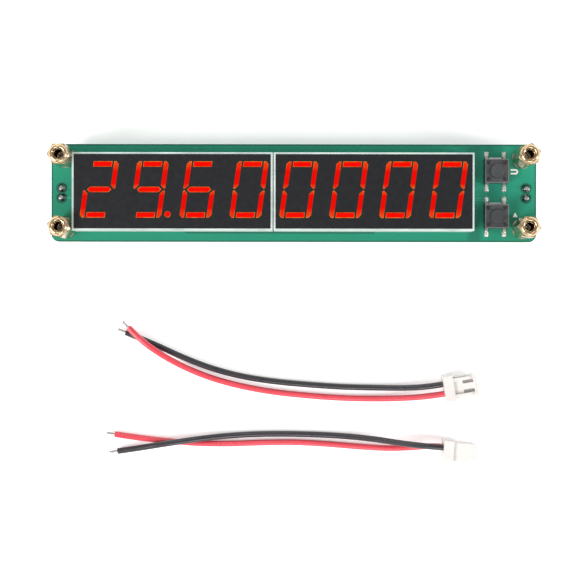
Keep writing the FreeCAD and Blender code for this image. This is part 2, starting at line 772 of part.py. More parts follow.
def make_chip(name, kind, pins, x, y="display_y"):
    """A moulded chip with gull-wing leads, hanging under the rear face."""
    length = f"{kind}_length"
    width = f"{kind}_width"
    height = f"{kind}_height"
    span = f"{kind}_span"
    seam = f"-chip_standoff - {height} * 0.5"
    low = f"-chip_standoff - {height}"
    body = new_body(name)
    sketch = new_sketch(body, "YZ_Plane")
    draft = f"{width} / 2 - {height} * 0.08"
    edge = f"{width} / 2"
    outline(sketch, [(f"-({draft})", "-chip_standoff"), (f"-{edge}", seam), (f"-({draft})", low),
                     (draft, low), (edge, seam), (draft, "-chip_standoff")])
    pad(body, sketch, length, midplane=True)
    mark = new_sketch(body, offset=low)
    circle(mark, f"{width} * 0.16", f"-{length} / 2 + {width} * 0.2", f"{width} * 0.3")
    pocket(body, mark, "0.1")
    keep(place(body, x, y, "socket_height"), name)

    lead = new_body(f"{name}_lead")
    sketch = new_sketch(lead, "YZ_Plane")
    thick = "chip_lead_thickness"
    knee = f"({width} / 2 + ({span} - {width}) * 0.16)"
    heel = f"{span} / 2 - 0.6"
    toe = f"{span} / 2"
    outline(sketch, [
        (edge, f"{seam} + {thick} / 2"), (edge, f"{seam} - {thick} / 2"), (knee, f"{seam} - {thick} / 2"),
        (heel, f"-{thick}"), (toe, f"-{thick}"), (toe, "0"), (f"{heel} - {thick} / 2", "0"),
        (f"{knee} - {thick} / 2", f"{seam} + {thick} / 2"),
    ])
    pad(lead, sketch, "chip_lead_width", midplane=True)
    steps = [(i - (pins / 2 - 1) / 2) * size("chip_lead_pitch") for i in range(pins // 2)]
    middle = (size(x), size(y))
    spots = [at(middle[0] + step, middle[1], board_rear, turn) for step in steps for turn in (0, 180)]
    keep(copies(lead, spots), f"{name}_leads")


def make_oscillator():
    """Ceramic base and seam-welded lid of the temperature-compensated reference."""
    top = "socket_height - oscillator_base_height"
    base = slab("oscillator_length", "oscillator_width", "oscillator_base_height")
    keep(place(base, "oscillator_x", "display_y", top), "oscillator_base")
    lid = new_body("oscillator_lid")
    sketch = new_sketch(lid)
    rectangle(sketch, "oscillator_length - 2 * oscillator_rim", "oscillator_width - 2 * oscillator_rim")
    plate = pad(lid, sketch, "oscillator_lid_height")
    dress(lid, "PartDesign::Fillet", plate, lambda middle, way: abs(way.z) > 0.9, "oscillator_rim")
    place(lid, "oscillator_x", "display_y", f"{top} - oscillator_lid_height")
    keep(lid, "oscillator_lid")


def make_regulator():
    """Moulded voltage regulator, and the metal tab and two leads it is soldered down by."""
    body = new_body("regulator")
    sketch = new_sketch(body, "XZ_Plane")
    half = "regulator_length / 2"
    low = "-regulator_height"
    outline(sketch, [(f"-{half}", "-regulator_tab"), (f"-{half}", f"{low} * 0.6"), (f"-{half} + 0.5", low),
                     (f"{half} - 0.2", low), (half, f"{low} * 0.5"), (half, "-regulator_tab")])
    pad(body, sketch, "regulator_width", midplane=True)
    keep(place(body, "regulator_x", "regulator_y", "socket_height"), "regulator")
    tab = box("regulator_length + 1.2", "regulator_width - 1.2", "regulator_tab", "regulator_x - 0.6",
              "regulator_y", "socket_height - regulator_tab")
    legs = [box("2.4", "0.8", "regulator_tab", f"regulator_x + {half} + 1.3", f"regulator_y {sign} 2.3",
                "socket_height - regulator_tab") for sign in "+-"]
    keep(group([tab] + legs), "regulator_tab")


def make_capacitors():
    """Two surface-mounted electrolytic capacitors: cans on moulded bases."""
    spots = [("regulator_x", "regulator_y + 9.6"), ("regulator_x + 10.2", "display_y + 6.4")]
    cans = []
    bases = []
    for x, y in spots:
        base_low = "socket_height - capacitor_base"
        side = "capacitor_diameter + 0.3"
        bases.append(place(slab(side, side, "capacitor_base"), x, y, base_low))
        can = new_body("capacitor_can")
        radius = "capacitor_diameter / 2"
        height = "(capacitor_height - capacitor_base)"
        turned(can, [
            ("0", f"-{height}"), (f"{radius} - 0.4", f"-{height}"), (radius, f"-{height} + 0.4"),
            (radius, "-1.3"), (f"{radius} - 0.3", "-1.1"), (f"{radius} - 0.3", "-0.9"),
            (radius, "-0.7"), (radius, "0"), ("0", "0"),
        ])
        cans.append(place(can, x, y, base_low))
    keep(group(cans), "capacitor_cans")
    keep(group(bases), "capacitor_bases")


def make_diode():
    """Reverse-polarity protection diode with its two wrapped ends, next to the power socket."""
    x = "board_length / 2 - 12.6"
    y = "-4.2"
    body = new_body("protection_diode")
    sketch = new_sketch(body, "YZ_Plane")
    half = "diode_length / 2"
    low = "-diode_height"
    outline(sketch, [(f"-{half} + 0.1", "-0.2"), (f"-{half}", f"{low} * 0.5"), (f"-{half} + 0.2", low),
                     (f"{half} - 0.2", low), (half, f"{low} * 0.5"), (f"{half} - 0.1", "-0.2")])
    pad(body, sketch, "diode_width", midplane=True)
    keep(place(body, x, y, "socket_height"), "protection_diode")
    ends = [box("1.5", "0.2", "diode_height * 0.5", x, f"{y} {sign} ({half} + 0.1)",
                "socket_height - diode_height * 0.5") for sign in "+-"]
    keep(group(ends), "protection_diode_ends")


def make_amplifier():
    """Three-lead input amplifier behind the signal socket."""
    x = "-board_length / 2 + 10.6"
    y = "-3.2"
    low = "socket_height - amplifier_height - 0.1"
    keep(box("amplifier_length", "amplifier_width", "amplifier_height", x, y, low), "input_amplifier")
    leg = ("0.42", "0.75", "0.18")
    edge = "amplifier_width / 2 + 0.375"
    legs = [box(*leg, f"{x} - 0.95", f"{y} + {edge}", "socket_height - 0.28"),
            box(*leg, f"{x} + 0.95", f"{y} + {edge}", "socket_height - 0.28"),
            box(*leg, x, f"{y} - ({edge})", "socket_height - 0.28")]
    keep(group(legs), "input_amplifier_leads")


# Small parts by the chip they serve: how far along the board from its middle, and the place across it.
RESISTORS = {
    "display_right_x": [(x, y) for x in (-12.65, -10.15) for y in (-6.2, -3.1, 0.0, 3.1, 6.2)],
    "prescaler_x": [(-5.9, 3.2), (4.5, -4.4)],
}
SMALL_CAPACITORS = {
    "display_right_x": [(10.85, 3.4), (10.85, -3.2)],
    "microcontroller_x": [(-8.0, 7.6), (9.2, 7.6)],
    "oscillator_x": [(0.0, -5.2)],
    "prescaler_x": [(6.6, 3.2), (6.6, -1.0), (-5.9, 5.9)],
}


def make_chip_parts():
    """Resistors and small capacitors: ceramic bodies, and the metal ends they are soldered by."""
    core = "chip_part_length - 2 * chip_part_end"
    ends = []
    for label, near, height in (("chip_resistors", RESISTORS, "resistor_height"),
                                ("chip_capacitors", SMALL_CAPACITORS, "small_capacitor_height")):
        spots = [(size(chip) + dx, y) for chip, places in near.items() for dx, y in places]
        level = board_rear - size(height)
        keep(copies(slab(core, "chip_part_width", height), [at(x, y, level) for x, y in spots]), label)
        end = slab("chip_part_end", "chip_part_width", height)
        shift = (size("chip_part_length") - size("chip_part_end")) / 2
        ends.append(copies(end, [at(x + side * shift, y, level) for x, y in spots for side in (-1, 1)]))
    keep(group(ends), "chip_part_ends")


# Leads -------------------------------------------------------------------------------------

def rounded_route(corners, label):
    """Straight runs joined by tangent arcs, each as large as its two runs allow."""
    points = [Vector(*corner) for corner in corners]
    edges = []
    start = points[0]
    radii = []
    for before, corner, after in zip(points, points[1:], points[2:]):
        incoming = (corner - before).normalize()
        outgoing = (after - corner).normalize()
        turn = incoming.getAngle(outgoing)
        cut = 0.45 * min((corner - before).Length, (after - corner).Length)
        radius = cut / math.tan(turn / 2)
        towards = (outgoing - incoming).normalize()
        middle = corner + towards * (radius / math.cos(turn / 2) - radius)
        enter = corner - incoming * cut
        leave = corner + outgoing * cut
        edges.append(Part.LineSegment(start, enter).toShape())
        edges.append(Part.Arc(enter, middle, leave).toShape())
        radii.append(round(radius, 1))
        start = leave
    edges.append(Part.LineSegment(start, points[-1]).toShape())
    print(f"{label}: length {sum(edge.Length for edge in edges):.1f}, radii {radii}")
    return Part.Wire(edges)


def make_wire(name, corners):
    """An insulated wire: a round tube of its outer diameter along its route."""
    path = rounded_route(corners, name)
    radius = size("wire_diameter") / 2
    heading = path.Edges[0].tangentAt(path.Edges[0].FirstParameter)
    section = Part.Wire(Part.makeCircle(radius, Vector(*corners[0]), heading))
    tube = path.makePipeShell([section], True, False)
    expected = math.pi * radius ** 2 * path.Length
    if abs(tube.Volume / expected - 1) > 0.01:
        raise RuntimeError(f"{name}: tube volume {tube.Volume:.1f}, expected {expected:.1f}")
    wire = doc.addObject("Part::Feature", name)
    wire.Shape = tube
    keep(wire, name)


def make_plug():
    """Plug housing about its wire end: X towards the mouth, Y along the pins, Z across the ribs."""
    body = new_body("plug_housing")
    sketch = new_sketch(body, "YZ_Plane")
    rectangle(sketch, PLUG_WIDTH, PLUG_THICKNESS)
    nose = pad(body, sketch, "plug_length")
    tip = size("plug_length") - 0.01
    dress(body, "PartDesign::Chamfer", nose, lambda middle, way: middle.x > tip, "plug_chamfer")
    sketch = new_sketch(body, "YZ_Plane")
    rectangle(sketch, "collar_width", "collar_thickness")
    collar = pad(body, sketch, "collar_length")
    reach = size("collar_width") / 2 - 0.01

    def at_corner(middle, way):
        return abs(way.x) > 0.9 and abs(middle.y) > reach

    dress(body, "PartDesign::Fillet", collar, at_corner, "0.6")
    sketch = new_sketch(body, "YZ_Plane")
    rise = f"(collar_thickness - {PLUG_THICKNESS}) / 2 - 0.1"
    for side in "-+":
        rib_level = f"{PLUG_THICKNESS} / 2 + ({rise}) / 2 - 0.05"
        rectangle(sketch, "rib_width", f"{rise} + 0.1", f"{side}rib_spacing / 2", rib_level)
    pad(body, sketch, "plug_length - rib_end_gap")
    bay = "terminal_size + 2 * terminal_clearance"
    sketch = new_sketch(body, "YZ_Plane", "plug_length - terminal_length")
    for side in "-+":
        rectangle(sketch, bay, bay, f"{side}pin_pitch / 2", "contact_row")
    pocket(body, sketch, "terminal_length - 0.6")
    sketch = new_sketch(body, "YZ_Plane")
    for side in "-+":
        circle(sketch, "wire_entry", f"{side}pin_pitch / 2", "contact_row")
    pocket(body, sketch, "plug_length - terminal_length")
    sketch = new_sketch(body, "YZ_Plane", "plug_length - 0.6")
    for side in "-+":
        rectangle(sketch, "pin_size + 0.5", "pin_size + 0.5", f"{side}pin_pitch / 2", "contact_row")
    pocket(body, sketch, "0.6")
    sketch = new_sketch(body)
    for side in "-+":
        rectangle(sketch, "window_length", "window_width",
                  "plug_length - 0.9 - window_length / 2", f"{side}pin_pitch / 2")
    pocket(body, sketch, f"{PLUG_THICKNESS}")
    return body


def make_terminal():
    """Crimp contact: a square socket for the pin and a barrel round the conductor."""
    body = new_body("terminal")
    sketch = new_sketch(body, "YZ_Plane", "plug_length - terminal_length")
    rectangle(sketch, "terminal_size", "terminal_size", y="contact_row")
    circle(sketch, "terminal_bore", y="contact_row")
    pad(body, sketch, "terminal_length - 0.65")
    sketch = new_sketch(body, "YZ_Plane", "0.3")
    circle(sketch, "barrel_diameter", y="contact_row")
    circle(sketch, "conductor_diameter", y="contact_row")
    pad(body, sketch, "plug_length - terminal_length - 0.3")
    return body


def make_tips(name, routes):
    """The tinned ends of a lead's conductors, each in line with the last run of its wire."""
    stub = rod("conductor_diameter", "tip_length")
    spots = []
    for corners in routes:
        end = Vector(*corners[-1])
        heading = end - Vector(*corners[-2])
        spots.append(Placement(end, Rotation(UP, heading)))
    keep(copies(stub, spots), name)


def make_lead(name, housing, contact, plug_place, black, red):
    """A two-wire lead: plug, contacts, black and red wire, stripped ends."""
    keep(copies(housing, [plug_place]), f"{name}_plug")
    reach = size("pin_pitch") / 2
    beside = [Placement(Vector(0, side * reach, 0), Rotation()) for side in (-1, 1)]
    keep(copies(contact, [plug_place.multiply(offset) for offset in beside]), f"{name}_terminals")
    routes = []
    for colour, side, (straight, onward) in (("black", 1, black), ("red", -1, red)):
        entry = [Vector(x, side * reach, size("contact_row")) for x in (0, -straight)]
        routes.append([tuple(plug_place.multVec(point)) for point in entry] + onward)
        make_wire(f"{name}_wire_{colour}", routes[-1])
    make_tips(f"{name}_wire_tips", routes)


# The whole module --------------------------------------------------------------------------

make_circuit_board()
make_display("left", "display_left_x", "digit_shift_left")
make_display("right", "display_right_x", "digit_shift_right")
make_standoffs()
make_screws()
make_socket("signal", -1)
make_socket("power", 1)
for switch_side, switch_y in SWITCHES.items():
    make_switch(switch_side, switch_y)
make_solder()
make_chip("microcontroller", "large_chip", 28, "microcontroller_x")
make_chip("display_driver", "large_chip", 28, "display_right_x")
make_chip("prescaler", "small_chip", 8, "prescaler_x")
make_oscillator()
make_regulator()
make_capacitors()
make_diode()
make_amplifier()
make_chip_parts()

plug_housing = make_plug()
crimp_contact = make_terminal()
signal_place = at(*SIGNAL_PLUG_AT, size("collar_thickness") / 2, SIGNAL_PLUG_TURN)
on_edge = Placement(Vector(), Rotation(Vector(1, 0, 0), 90))
power_place = at(*POWER_PLUG_AT, size("collar_width") / 2, POWER_PLUG_TURN).multiply(on_edge)
make_lead("signal", plug_housing, crimp_contact, signal_place, SIGNAL_BLACK_ROUTE, SIGNAL_RED_ROUTE)
make_lead("power", plug_housing, crimp_contact, power_place, POWER_BLACK_ROUTE, POWER_RED_ROUTE)

doc.recompute()
for thing in doc.Objects:
    if "Invalid" in thing.State or "Error" in thing.State:
        raise RuntimeError(f"{thing.Name}: {thing.State}")
for part in sub_parts:
    if part.Shape.isNull() or not part.Shape.isValid() or not part.Shape.Solids:
        raise RuntimeError(f"{part.Label}: no valid solid")

os.makedirs("parts", exist_ok=True)
for part in sub_parts:
    part.Shape.exportStep(f"parts/{part.Label}.step")
print(f"{len(sub_parts)} sub-parts written")
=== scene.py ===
import math
import random
from functools import partial

import bpy
from mathutils import Matrix, Vector


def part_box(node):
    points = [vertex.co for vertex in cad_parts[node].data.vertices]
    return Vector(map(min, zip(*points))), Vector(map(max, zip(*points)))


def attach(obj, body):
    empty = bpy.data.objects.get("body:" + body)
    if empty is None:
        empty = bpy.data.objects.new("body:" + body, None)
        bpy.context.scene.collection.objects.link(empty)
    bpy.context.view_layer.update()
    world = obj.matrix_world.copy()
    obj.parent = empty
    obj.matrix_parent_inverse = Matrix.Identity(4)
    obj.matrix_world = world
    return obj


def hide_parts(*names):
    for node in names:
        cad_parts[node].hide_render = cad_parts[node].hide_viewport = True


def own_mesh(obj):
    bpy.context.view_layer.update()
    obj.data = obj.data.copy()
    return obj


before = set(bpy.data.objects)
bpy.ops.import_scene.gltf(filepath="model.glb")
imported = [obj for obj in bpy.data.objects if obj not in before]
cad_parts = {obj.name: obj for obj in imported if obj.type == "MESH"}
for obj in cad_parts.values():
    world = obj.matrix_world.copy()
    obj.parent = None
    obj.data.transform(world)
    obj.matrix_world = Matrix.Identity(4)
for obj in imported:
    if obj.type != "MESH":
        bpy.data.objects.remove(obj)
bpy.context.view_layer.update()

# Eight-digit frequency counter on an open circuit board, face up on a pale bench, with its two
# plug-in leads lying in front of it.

MM = 0.001
random.seed(8)

# Places, in millimetres.
BOARD_REAR, BOARD_TOP = (corner.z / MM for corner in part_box("circuit_board"))
BOARD_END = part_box("circuit_board")[1].x / MM
PIN_X, PIN_Y = BOARD_END - 2.65, 1.25
MOUNT_X, MOUNT_Y = BOARD_END - 3.5, 9.0
STANDOFF_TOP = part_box("standoffs")[1].z / MM
STANDOFF_HEIGHT = STANDOFF_TOP - BOARD_TOP
SWITCH_X = 51.5
SWITCH_Y = [sum(corner.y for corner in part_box(f"switch_cover_{row}")) / 2 / MM
            for row in ("upper", "lower")]
COVER_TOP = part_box("switch_cover_upper")[1].z / MM
POST_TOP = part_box("switch_base_upper")[1].z / MM
POST_OUT = 2.05
LEAD_X, LEAD_SPAN = 2.25, 4.6
FILM_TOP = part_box("display_film_left")[1].z / MM
CASE_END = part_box("display_case_right")[1].x / MM
CASE_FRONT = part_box("display_case_right")[0].y / MM
DIGIT_RISE = 0.45
DIGIT_MIDDLE = sum(corner.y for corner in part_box("display_film_left")) / 2 / MM + DIGIT_RISE

# The four corners of a rectangle, as the signs of X and Y.
CORNERS = [(-1, -1), (-1, 1), (1, -1), (1, 1)]


# Helpers -----------------------------------------------------------------------------------

def linear(code):
    """An sRGB hex colour as the linear red, green, blue and alpha that a shader takes."""
    parts = [int(code[i:i + 2], 16) / 255 for i in (1, 3, 5)]
    return [c / 12.92 if c <= 0.04045 else ((c + 0.055) / 1.055) ** 2.4 for c in parts] + [1.0]


def add_node(tree, kind, inputs=(), **settings):
    """A new shader node with its properties set. Its inputs, in order or by name or number, are
    plain values, sockets, or nodes, which are linked from their first output in use."""
    node = tree.nodes.new("ShaderNode" + kind)
    for key, value in settings.items():
        setattr(node, key, value)
    for key, value in inputs.items() if isinstance(inputs, dict) else enumerate(inputs):
        if isinstance(value, bpy.types.Node):
            value = next(output for output in value.outputs if output.enabled)
        if isinstance(value, bpy.types.NodeSocket):
            tree.links.new(value, node.inputs[key])
        else:
            node.inputs[key].default_value = value
    return node


def new_material(name):
    """An empty material, and add_node for its own tree."""
    made = bpy.data.materials.new(name)
    made.use_nodes = True
    made.node_tree.nodes.clear()
    return made, partial(add_node, made.node_tree)


def finish_material(made, add, shader_inputs):
    """The Principled shader with these inputs, wired to the output."""
    add("OutputMaterial", {"Surface": add("BsdfPrincipled", shader_inputs)})
    return made


def paint(node_names, made):
    """Give these CAD nodes a material, in all of their slots."""
    for name in node_names:
        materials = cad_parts[name].data.materials
        for i in range(max(1, len(materials))):
            if i < len(materials):
                materials[i] = made
            else:
                materials.append(made)


def deselect():
    """Let go of everything, before a primitive is added or a piece is picked."""
    for thing in list(bpy.context.selected_objects):
        thing.select_set(False)


def only(thing):
    """Select just this piece and make it the active one."""
    deselect()
    thing.select_set(True)
    bpy.context.view_layer.objects.active = thing


def settle(thing):
    """Put the piece's place and turn into its mesh."""
    only(thing)
    bpy.ops.object.transform_apply(location=True, rotation=True, scale=True)
    return thing


def join(things):
    """Several pieces as one, which is left active."""
    only(things[0])
    for twin in things[1:]:
        twin.select_set(True)
    if len(things) > 1:
        bpy.ops.object.join()
    return things[0]


def copy_to(thing, places):
    """One piece made of copies of this settled one, each at one matrix; this one is dropped."""
    copies = []
    for matrix in places:
        twin = thing.copy()
        twin.data = thing.data.copy()
        twin.data.transform(matrix)
        bpy.context.scene.collection.objects.link(twin)
        copies.append(twin)
    bpy.data.objects.remove(thing)
    return join(copies)


def piece(thing, name, body, slot, *materials):
    """Name a finished piece, give it its materials, and let it ride on a body."""
    thing.name = name
    thing.data.name = name
    thing.data.materials.clear()
    for made in materials:
        thing.data.materials.append(made)
    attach(thing, body)
    return thing


def move(x, y, z, turn=0.0):
    """A place in millimetres with a turn about Z in degrees."""
    about_z = Matrix.Rotation(math.radians(turn), 4, "Z")
    return Matrix.Translation((x * MM, y * MM, z * MM)) @ about_z


def edit_all():
    """Go into edit mode with all of the active piece selected."""
    bpy.ops.object.mode_set(mode="EDIT")
    bpy.ops.mesh.select_all(action="SELECT")


def draw_up(rise):
    """In edit mode, extrude the selection upwards by so many millimetres."""
    bpy.ops.mesh.extrude_region_move(TRANSFORM_OT_translate={"value": (0, 0, rise * MM)})


def close_edit():
    """Turn every face outwards and leave edit mode."""
    bpy.ops.mesh.select_all(action="SELECT")
    bpy.ops.mesh.normals_make_consistent(inside=False)
    bpy.ops.object.mode_set(mode="OBJECT")


def outline_of(points, fill="NOTHING"):
    """A closed outline through these points in millimetres."""
    deselect()
    bpy.ops.mesh.primitive_circle_add(vertices=len(points), radius=MM, fill_type=fill)
    made = bpy.context.object
    for vertex, point in zip(made.data.vertices, points):
        vertex.co = [part * MM for part in point]
    made.data.update()
    return made


# Materials ---------------------------------------------------------------------------------

def gate(add, value, low, high, ease):
    """One between two places in millimetres and nothing outside, easing over a short run."""
    rising = add("MapRange", (value, (low - ease) * MM, low * MM, 0.0, 1.0))
    falling = add("MapRange", (value, high * MM, (high + ease) * MM, 1.0, 0.0))
    return add("Math", (rising, falling), operation="MULTIPLY")


def solder_mask():
    """Liquid solder mask, screened and cured over glass cloth and copper: satin green, darker
    where it runs over bare laminate, at the edges and round the socket pins, darker in a strip
    under the display's front edge, and darkened by painted shade between the display and the
    keys, with the weave just showing. Painted light and shade grade it from darker at the front
    edge to lighter at the rear. The cut edge is yellowish glass epoxy."""
    made, add = new_material("green_solder_mask")
    low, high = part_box("circuit_board")
    places = add("TexCoord").outputs
    at = add("SeparateXYZ", (places["Object"],)).outputs
    out_x = add("Math", (at["X"],), operation="ABSOLUTE")
    out_y = add("Math", (at["Y"],), operation="ABSOLUTE")

    # Painted light and shade: the green runs from darker at the front edge to lighter at the rear, with faint
    # clouds at random.
    across = add("MapRange", (at["Y"], low.y, high.y))
    green = add("Mix", {0: across, 6: linear("#157D61"), 7: linear("#229A7C")}, data_type="RGBA")
    cloud = add("TexNoise", {"Vector": places["Object"], "Scale": 1 / (9.0 * MM), "Detail": 3.0,
                             "Roughness": 0.55})
    cloud = add("MapRange", (cloud, 0.3, 0.7, 0.0, 0.22))
    green = add("Mix", {0: cloud, 6: green, 7: linear("#1F6A55")}, data_type="RGBA")

    # Bare laminate at the margin and in a ring round each socket pin, a darker strip under the display's front
    # edge, and painted shade on the strip between the display and the keys.
    in_x = add("Math", (high.x, out_x), operation="SUBTRACT")
    in_y = add("Math", (high.y, out_y), operation="SUBTRACT")
    inward = add("Math", (in_x, in_y), operation="MINIMUM")
    margin = add("MapRange", (inward, 0.30 * MM, 0.55 * MM, 1.0, 0.0))
    off_x = add("Math", (out_x, PIN_X * MM), operation="SUBTRACT")
    off_y = add("Math", (out_y, PIN_Y * MM), operation="SUBTRACT")
    off_pin = add("CombineXYZ", (off_x, off_y))
    ring = gate(add, add("VectorMath", (off_pin,), operation="LENGTH"), 1.05, 1.4, 0.12)
    under_case = add("Math", (gate(add, at["X"], -27.5, 20.3, 0.6),
                              gate(add, at["Y"], CASE_FRONT - 0.4, CASE_FRONT + 0.5, 0.1)),
                     operation="MULTIPLY")
    # Painted shade: the display's shadow on the board between it and the keys, lighter by the keys' row.
    clear_of_row = add("MapRange", (out_y, 2.4 * MM, 4.4 * MM, 0.0, 0.7))
    painted_shade_by_keys = add("Math", (gate(add, at["X"], CASE_END, CASE_END + 2.0, 1.2), clear_of_row),
                  operation="MULTIPLY")
    edges = add("Math", (margin, ring), operation="MAXIMUM")
    case_strip_and_painted_shade = add("Math", (under_case, painted_shade_by_keys), operation="MAXIMUM")
    darkened_places = add("Math", (edges, case_strip_and_painted_shade), operation="MAXIMUM")
    dark = add("Math", (darkened_places, 0.7), operation="MULTIPLY")
    green = add("Mix", {0: dark, 6: green, 7: linear("#17493B")}, data_type="RGBA")

    # The cloth's threads lie 0.45 mm apart, so its plain weave repeats every 0.9 mm.
    per_metre = 2 * math.pi / (0.9 * MM)
    waves = [add("Math", (add("Math", (at[axis], per_metre), operation="MULTIPLY"),),
                 operation="SINE") for axis in "XY"]
    weave = add("MapRange", (add("Math", waves, operation="MULTIPLY"), -1.0, 1.0))
    glint = add("Math", (weave, 0.08), operation="MULTIPLY")
    green = add("Mix", {0: glint, 6: green, 7: linear("#3BA88A")}, data_type="RGBA")

    # Cut edges and holes show the laminate's layers.
    layers = add("Mapping", {"Vector": places["Object"], "Scale": (0.2, 0.2, 4)})
    fibres = add("TexNoise", {"Vector": layers, "Scale": 1 / (0.25 * MM), "Detail": 3.0,
                              "Roughness": 0.55})
    fibres = add("MapRange", (fibres, 0.35, 0.65))
    laminate = add("Mix", {0: fibres, 6: linear("#9C9A5E"), 7: linear("#6F7A4A")},
                   data_type="RGBA")
    facing = add("SeparateXYZ", (places["Normal"],)).outputs["Z"]
    flat = add("MapRange", (add("Math", (facing,), operation="ABSOLUTE"), 0.4, 0.6))
    colour = add("Mix", {0: flat, 6: laminate, 7: green}, data_type="RGBA")

    threads = add("Math", (weave, 0.4), operation="MULTIPLY")
    relief = add("Math", (threads, darkened_places), operation="SUBTRACT")
    return finish_material(made, add, {
        "Base Color": colour, "Roughness": 0.42, "Specular IOR Level": 0.35,
        "Normal": add("Bump", {"Height": relief, "Distance": 0.02 * MM, "Strength": 1.0})})


def plastic(name, light, dark, grain, rough, depth=0.01, coat=0.0, patch=0.5, subsurface=0.0,
            tint="#FFFFFF", walls=None):
    """Moulded plastic or a cast or printed resin: fine grain so many millimetres wide, drawn a
    few times coarser than spark erosion leaves it, so that it shows, and slow changes of shade
    from flow and handling. Upright faces may be given another colour: painted shade."""
    made, add = new_material(name)
    places = add("TexCoord").outputs
    fine, handled, slow = (
        add("TexNoise", {"Vector": places["Object"], "Scale": 1 / (grain * times * MM),
                         "Detail": 3.0, "Roughness": 0.55}) for times in (1, 6, 18))
    shade = add("MapRange", (slow, 0.3, 0.7, 0.0, patch))
    colour = add("Mix", {0: shade, 6: linear(light), 7: linear(dark)}, data_type="RGBA")
    specks = add("Math", (fine, 0.12), operation="MULTIPLY")
    colour = add("Mix", {0: specks, 6: colour, 7: linear(tint)}, data_type="RGBA")
    # Painted shade: upright faces take the given darker colour, blended in by how far they turn from level.
    if walls:
        facing = add("SeparateXYZ", (places["Normal"],)).outputs["Z"]
        flat = add("MapRange", (add("Math", (facing,), operation="ABSOLUTE"), 0.3, 0.7))
        colour = add("Mix", {0: flat, 6: linear(walls), 7: colour}, data_type="RGBA")
    gloss = add("MapRange", (handled, 0.3, 0.7, rough * 0.85, min(1.0, rough * 1.15)))
    return finish_material(made, add, {
        "Base Color": colour, "Roughness": gloss, "Coat Weight": coat, "Coat Roughness": 0.12,
        "Subsurface Weight": subsurface, "Subsurface Scale": 0.6 * MM,
        "Normal": add("Bump", {"Height": fine, "Distance": depth * MM, "Strength": 1.0})})


def metal(name, light, dark, rough, grain=0.6, depth=0.01, stretch=(1, 1, 1), patch=0.6):
    """Bare or plated metal: bright, with tarnish in soft patches and fine tool marks, which are
    drawn out along an axis where the tool or the die ran that way."""
    made, add = new_material(name)
    place = add("TexCoord").outputs["Object"]
    slow = add("TexNoise", {"Vector": place, "Scale": 1 / (grain * 4 * MM), "Detail": 4.0,
                            "Roughness": 0.55})
    marks = add("TexNoise", {"Vector": add("Mapping", {"Vector": place, "Scale": stretch}),
                             "Scale": 1 / (grain * 0.35 * MM), "Detail": 3.0, "Roughness": 0.55})
    tarnish = add("MapRange", (slow, 0.35, 0.7, 0.0, patch))
    colour = add("Mix", {0: tarnish, 6: linear(light), 7: linear(dark)}, data_type="RGBA")
    gloss = add("MapRange", (marks, 0.2, 0.8, rough * 0.7, min(1.0, rough * 1.4)))
    return finish_material(made, add, {
        "Base Color": colour, "Metallic": 1.0, "Roughness": gloss,
        "Normal": add("Bump", {"Height": marks, "Distance": depth * MM, "Strength": 1.0})})


def lit_resin(name, red, amber, reach, patch):
    """Diffusing resin with the red emitter glowing through it; it pales to amber where the light
    has far to go, at the ends of the upright segments and by the digit's waist. Reach says how
    strongly, and patch is the width in millimetres of the changes in it."""
    made, add = new_material(name)
    place = add("TexCoord").outputs["Object"]
    height = add("SeparateXYZ", (place,)).outputs["Y"]
    above = add("Math", (height, DIGIT_MIDDLE * MM), operation="SUBTRACT")
    away = add("Math", (above,), operation="ABSOLUTE")
    ends = add("MapRange", (away, 4.6 * MM, 7.2 * MM, 0.0, reach))
    waist = add("MapRange", (away, 0.3 * MM, 1.5 * MM, reach * 0.8, 0.0))
    far = add("Math", (ends, waist), operation="MAXIMUM")
    drift = add("TexNoise", {"Vector": place, "Scale": 1 / (patch * MM), "Detail": 1.0,
                             "Roughness": 0.55})
    drift = add("MapRange", (drift, 0.35, 0.65, 0.3, 1.0))
    pale = add("Math", (far, drift), operation="MULTIPLY")
    glow = add("Mix", {0: pale, 6: linear(red), 7: linear(amber)}, data_type="RGBA")
    return finish_material(made, add, {
        "Base Color": linear("#0A0101"), "Roughness": 0.6, "Specular IOR Level": 0.0,
        "Emission Color": glow, "Emission Strength": 1.0})


mask_green = solder_mask()
# The mask where it lies on copper: a lighter green, as the metal shines through.
tracks_green = plastic("solder_mask_over_copper", "#2FA585", "#238A6D", 0.8, 0.4, 0.004,
                       tint="#4CB89A")
# White-filled moulded polycarbonate: chalky, a little grey with handling, with painted shade and a painted green
# reflection of the board down its upright sides.
case_white = plastic("moulded_reflector_case", "#CBD8D3", "#94A39E", 0.35, 0.5, 0.012, patch=0.8,
                     walls="#A6B6B0")
# Smoked polyester film: near black, with a soft sheen.
film_dark = plastic("smoked_face_film", "#0D0E12", "#08090C", 0.25, 0.36, 0.0008, tint="#14151A")
# Epoxy filled with scattering powder over a lit chip: even red, amber at its thin rim.
lit_core = lit_resin("lit_diffuser", "#F80703", "#FF1E08", 0.4, 3.0)
lit_upright = lit_resin("lit_diffuser_upright", "#F20A04", "#F07A2A", 0.45, 1.8)
lit_edge = lit_resin("lit_diffuser_edge", "#BE2408", "#F0A040", 0.85, 1.2)
# Cast epoxy behind the display: dull cream, slightly glossy where it set level.
carrier_grey = plastic("potting_epoxy", "#C8C2B0", "#A9A28C", 0.5, 0.42, 0.01, coat=0.1)
# Turned from hexagon bar: pale yellow with lengthwise drawing marks and browner tarnish.
brass = metal("turned_brass", "#D8BF98", "#A57F58", 0.2, 0.5, 0.0008, (1, 1, 0.1), patch=0.3)
# Nickel over steel screws: bright and faintly warm.
steel = metal("nickel_plated_steel", "#D6D3CC", "#A8A59C", 0.26, 0.6, 0.006)
# Tin dipped over steel and copper legs and pads: soft white-grey sheen.
tin = metal("tinned_steel", "#D9D7D2", "#9E9B94", 0.28, 0.5, 0.008)
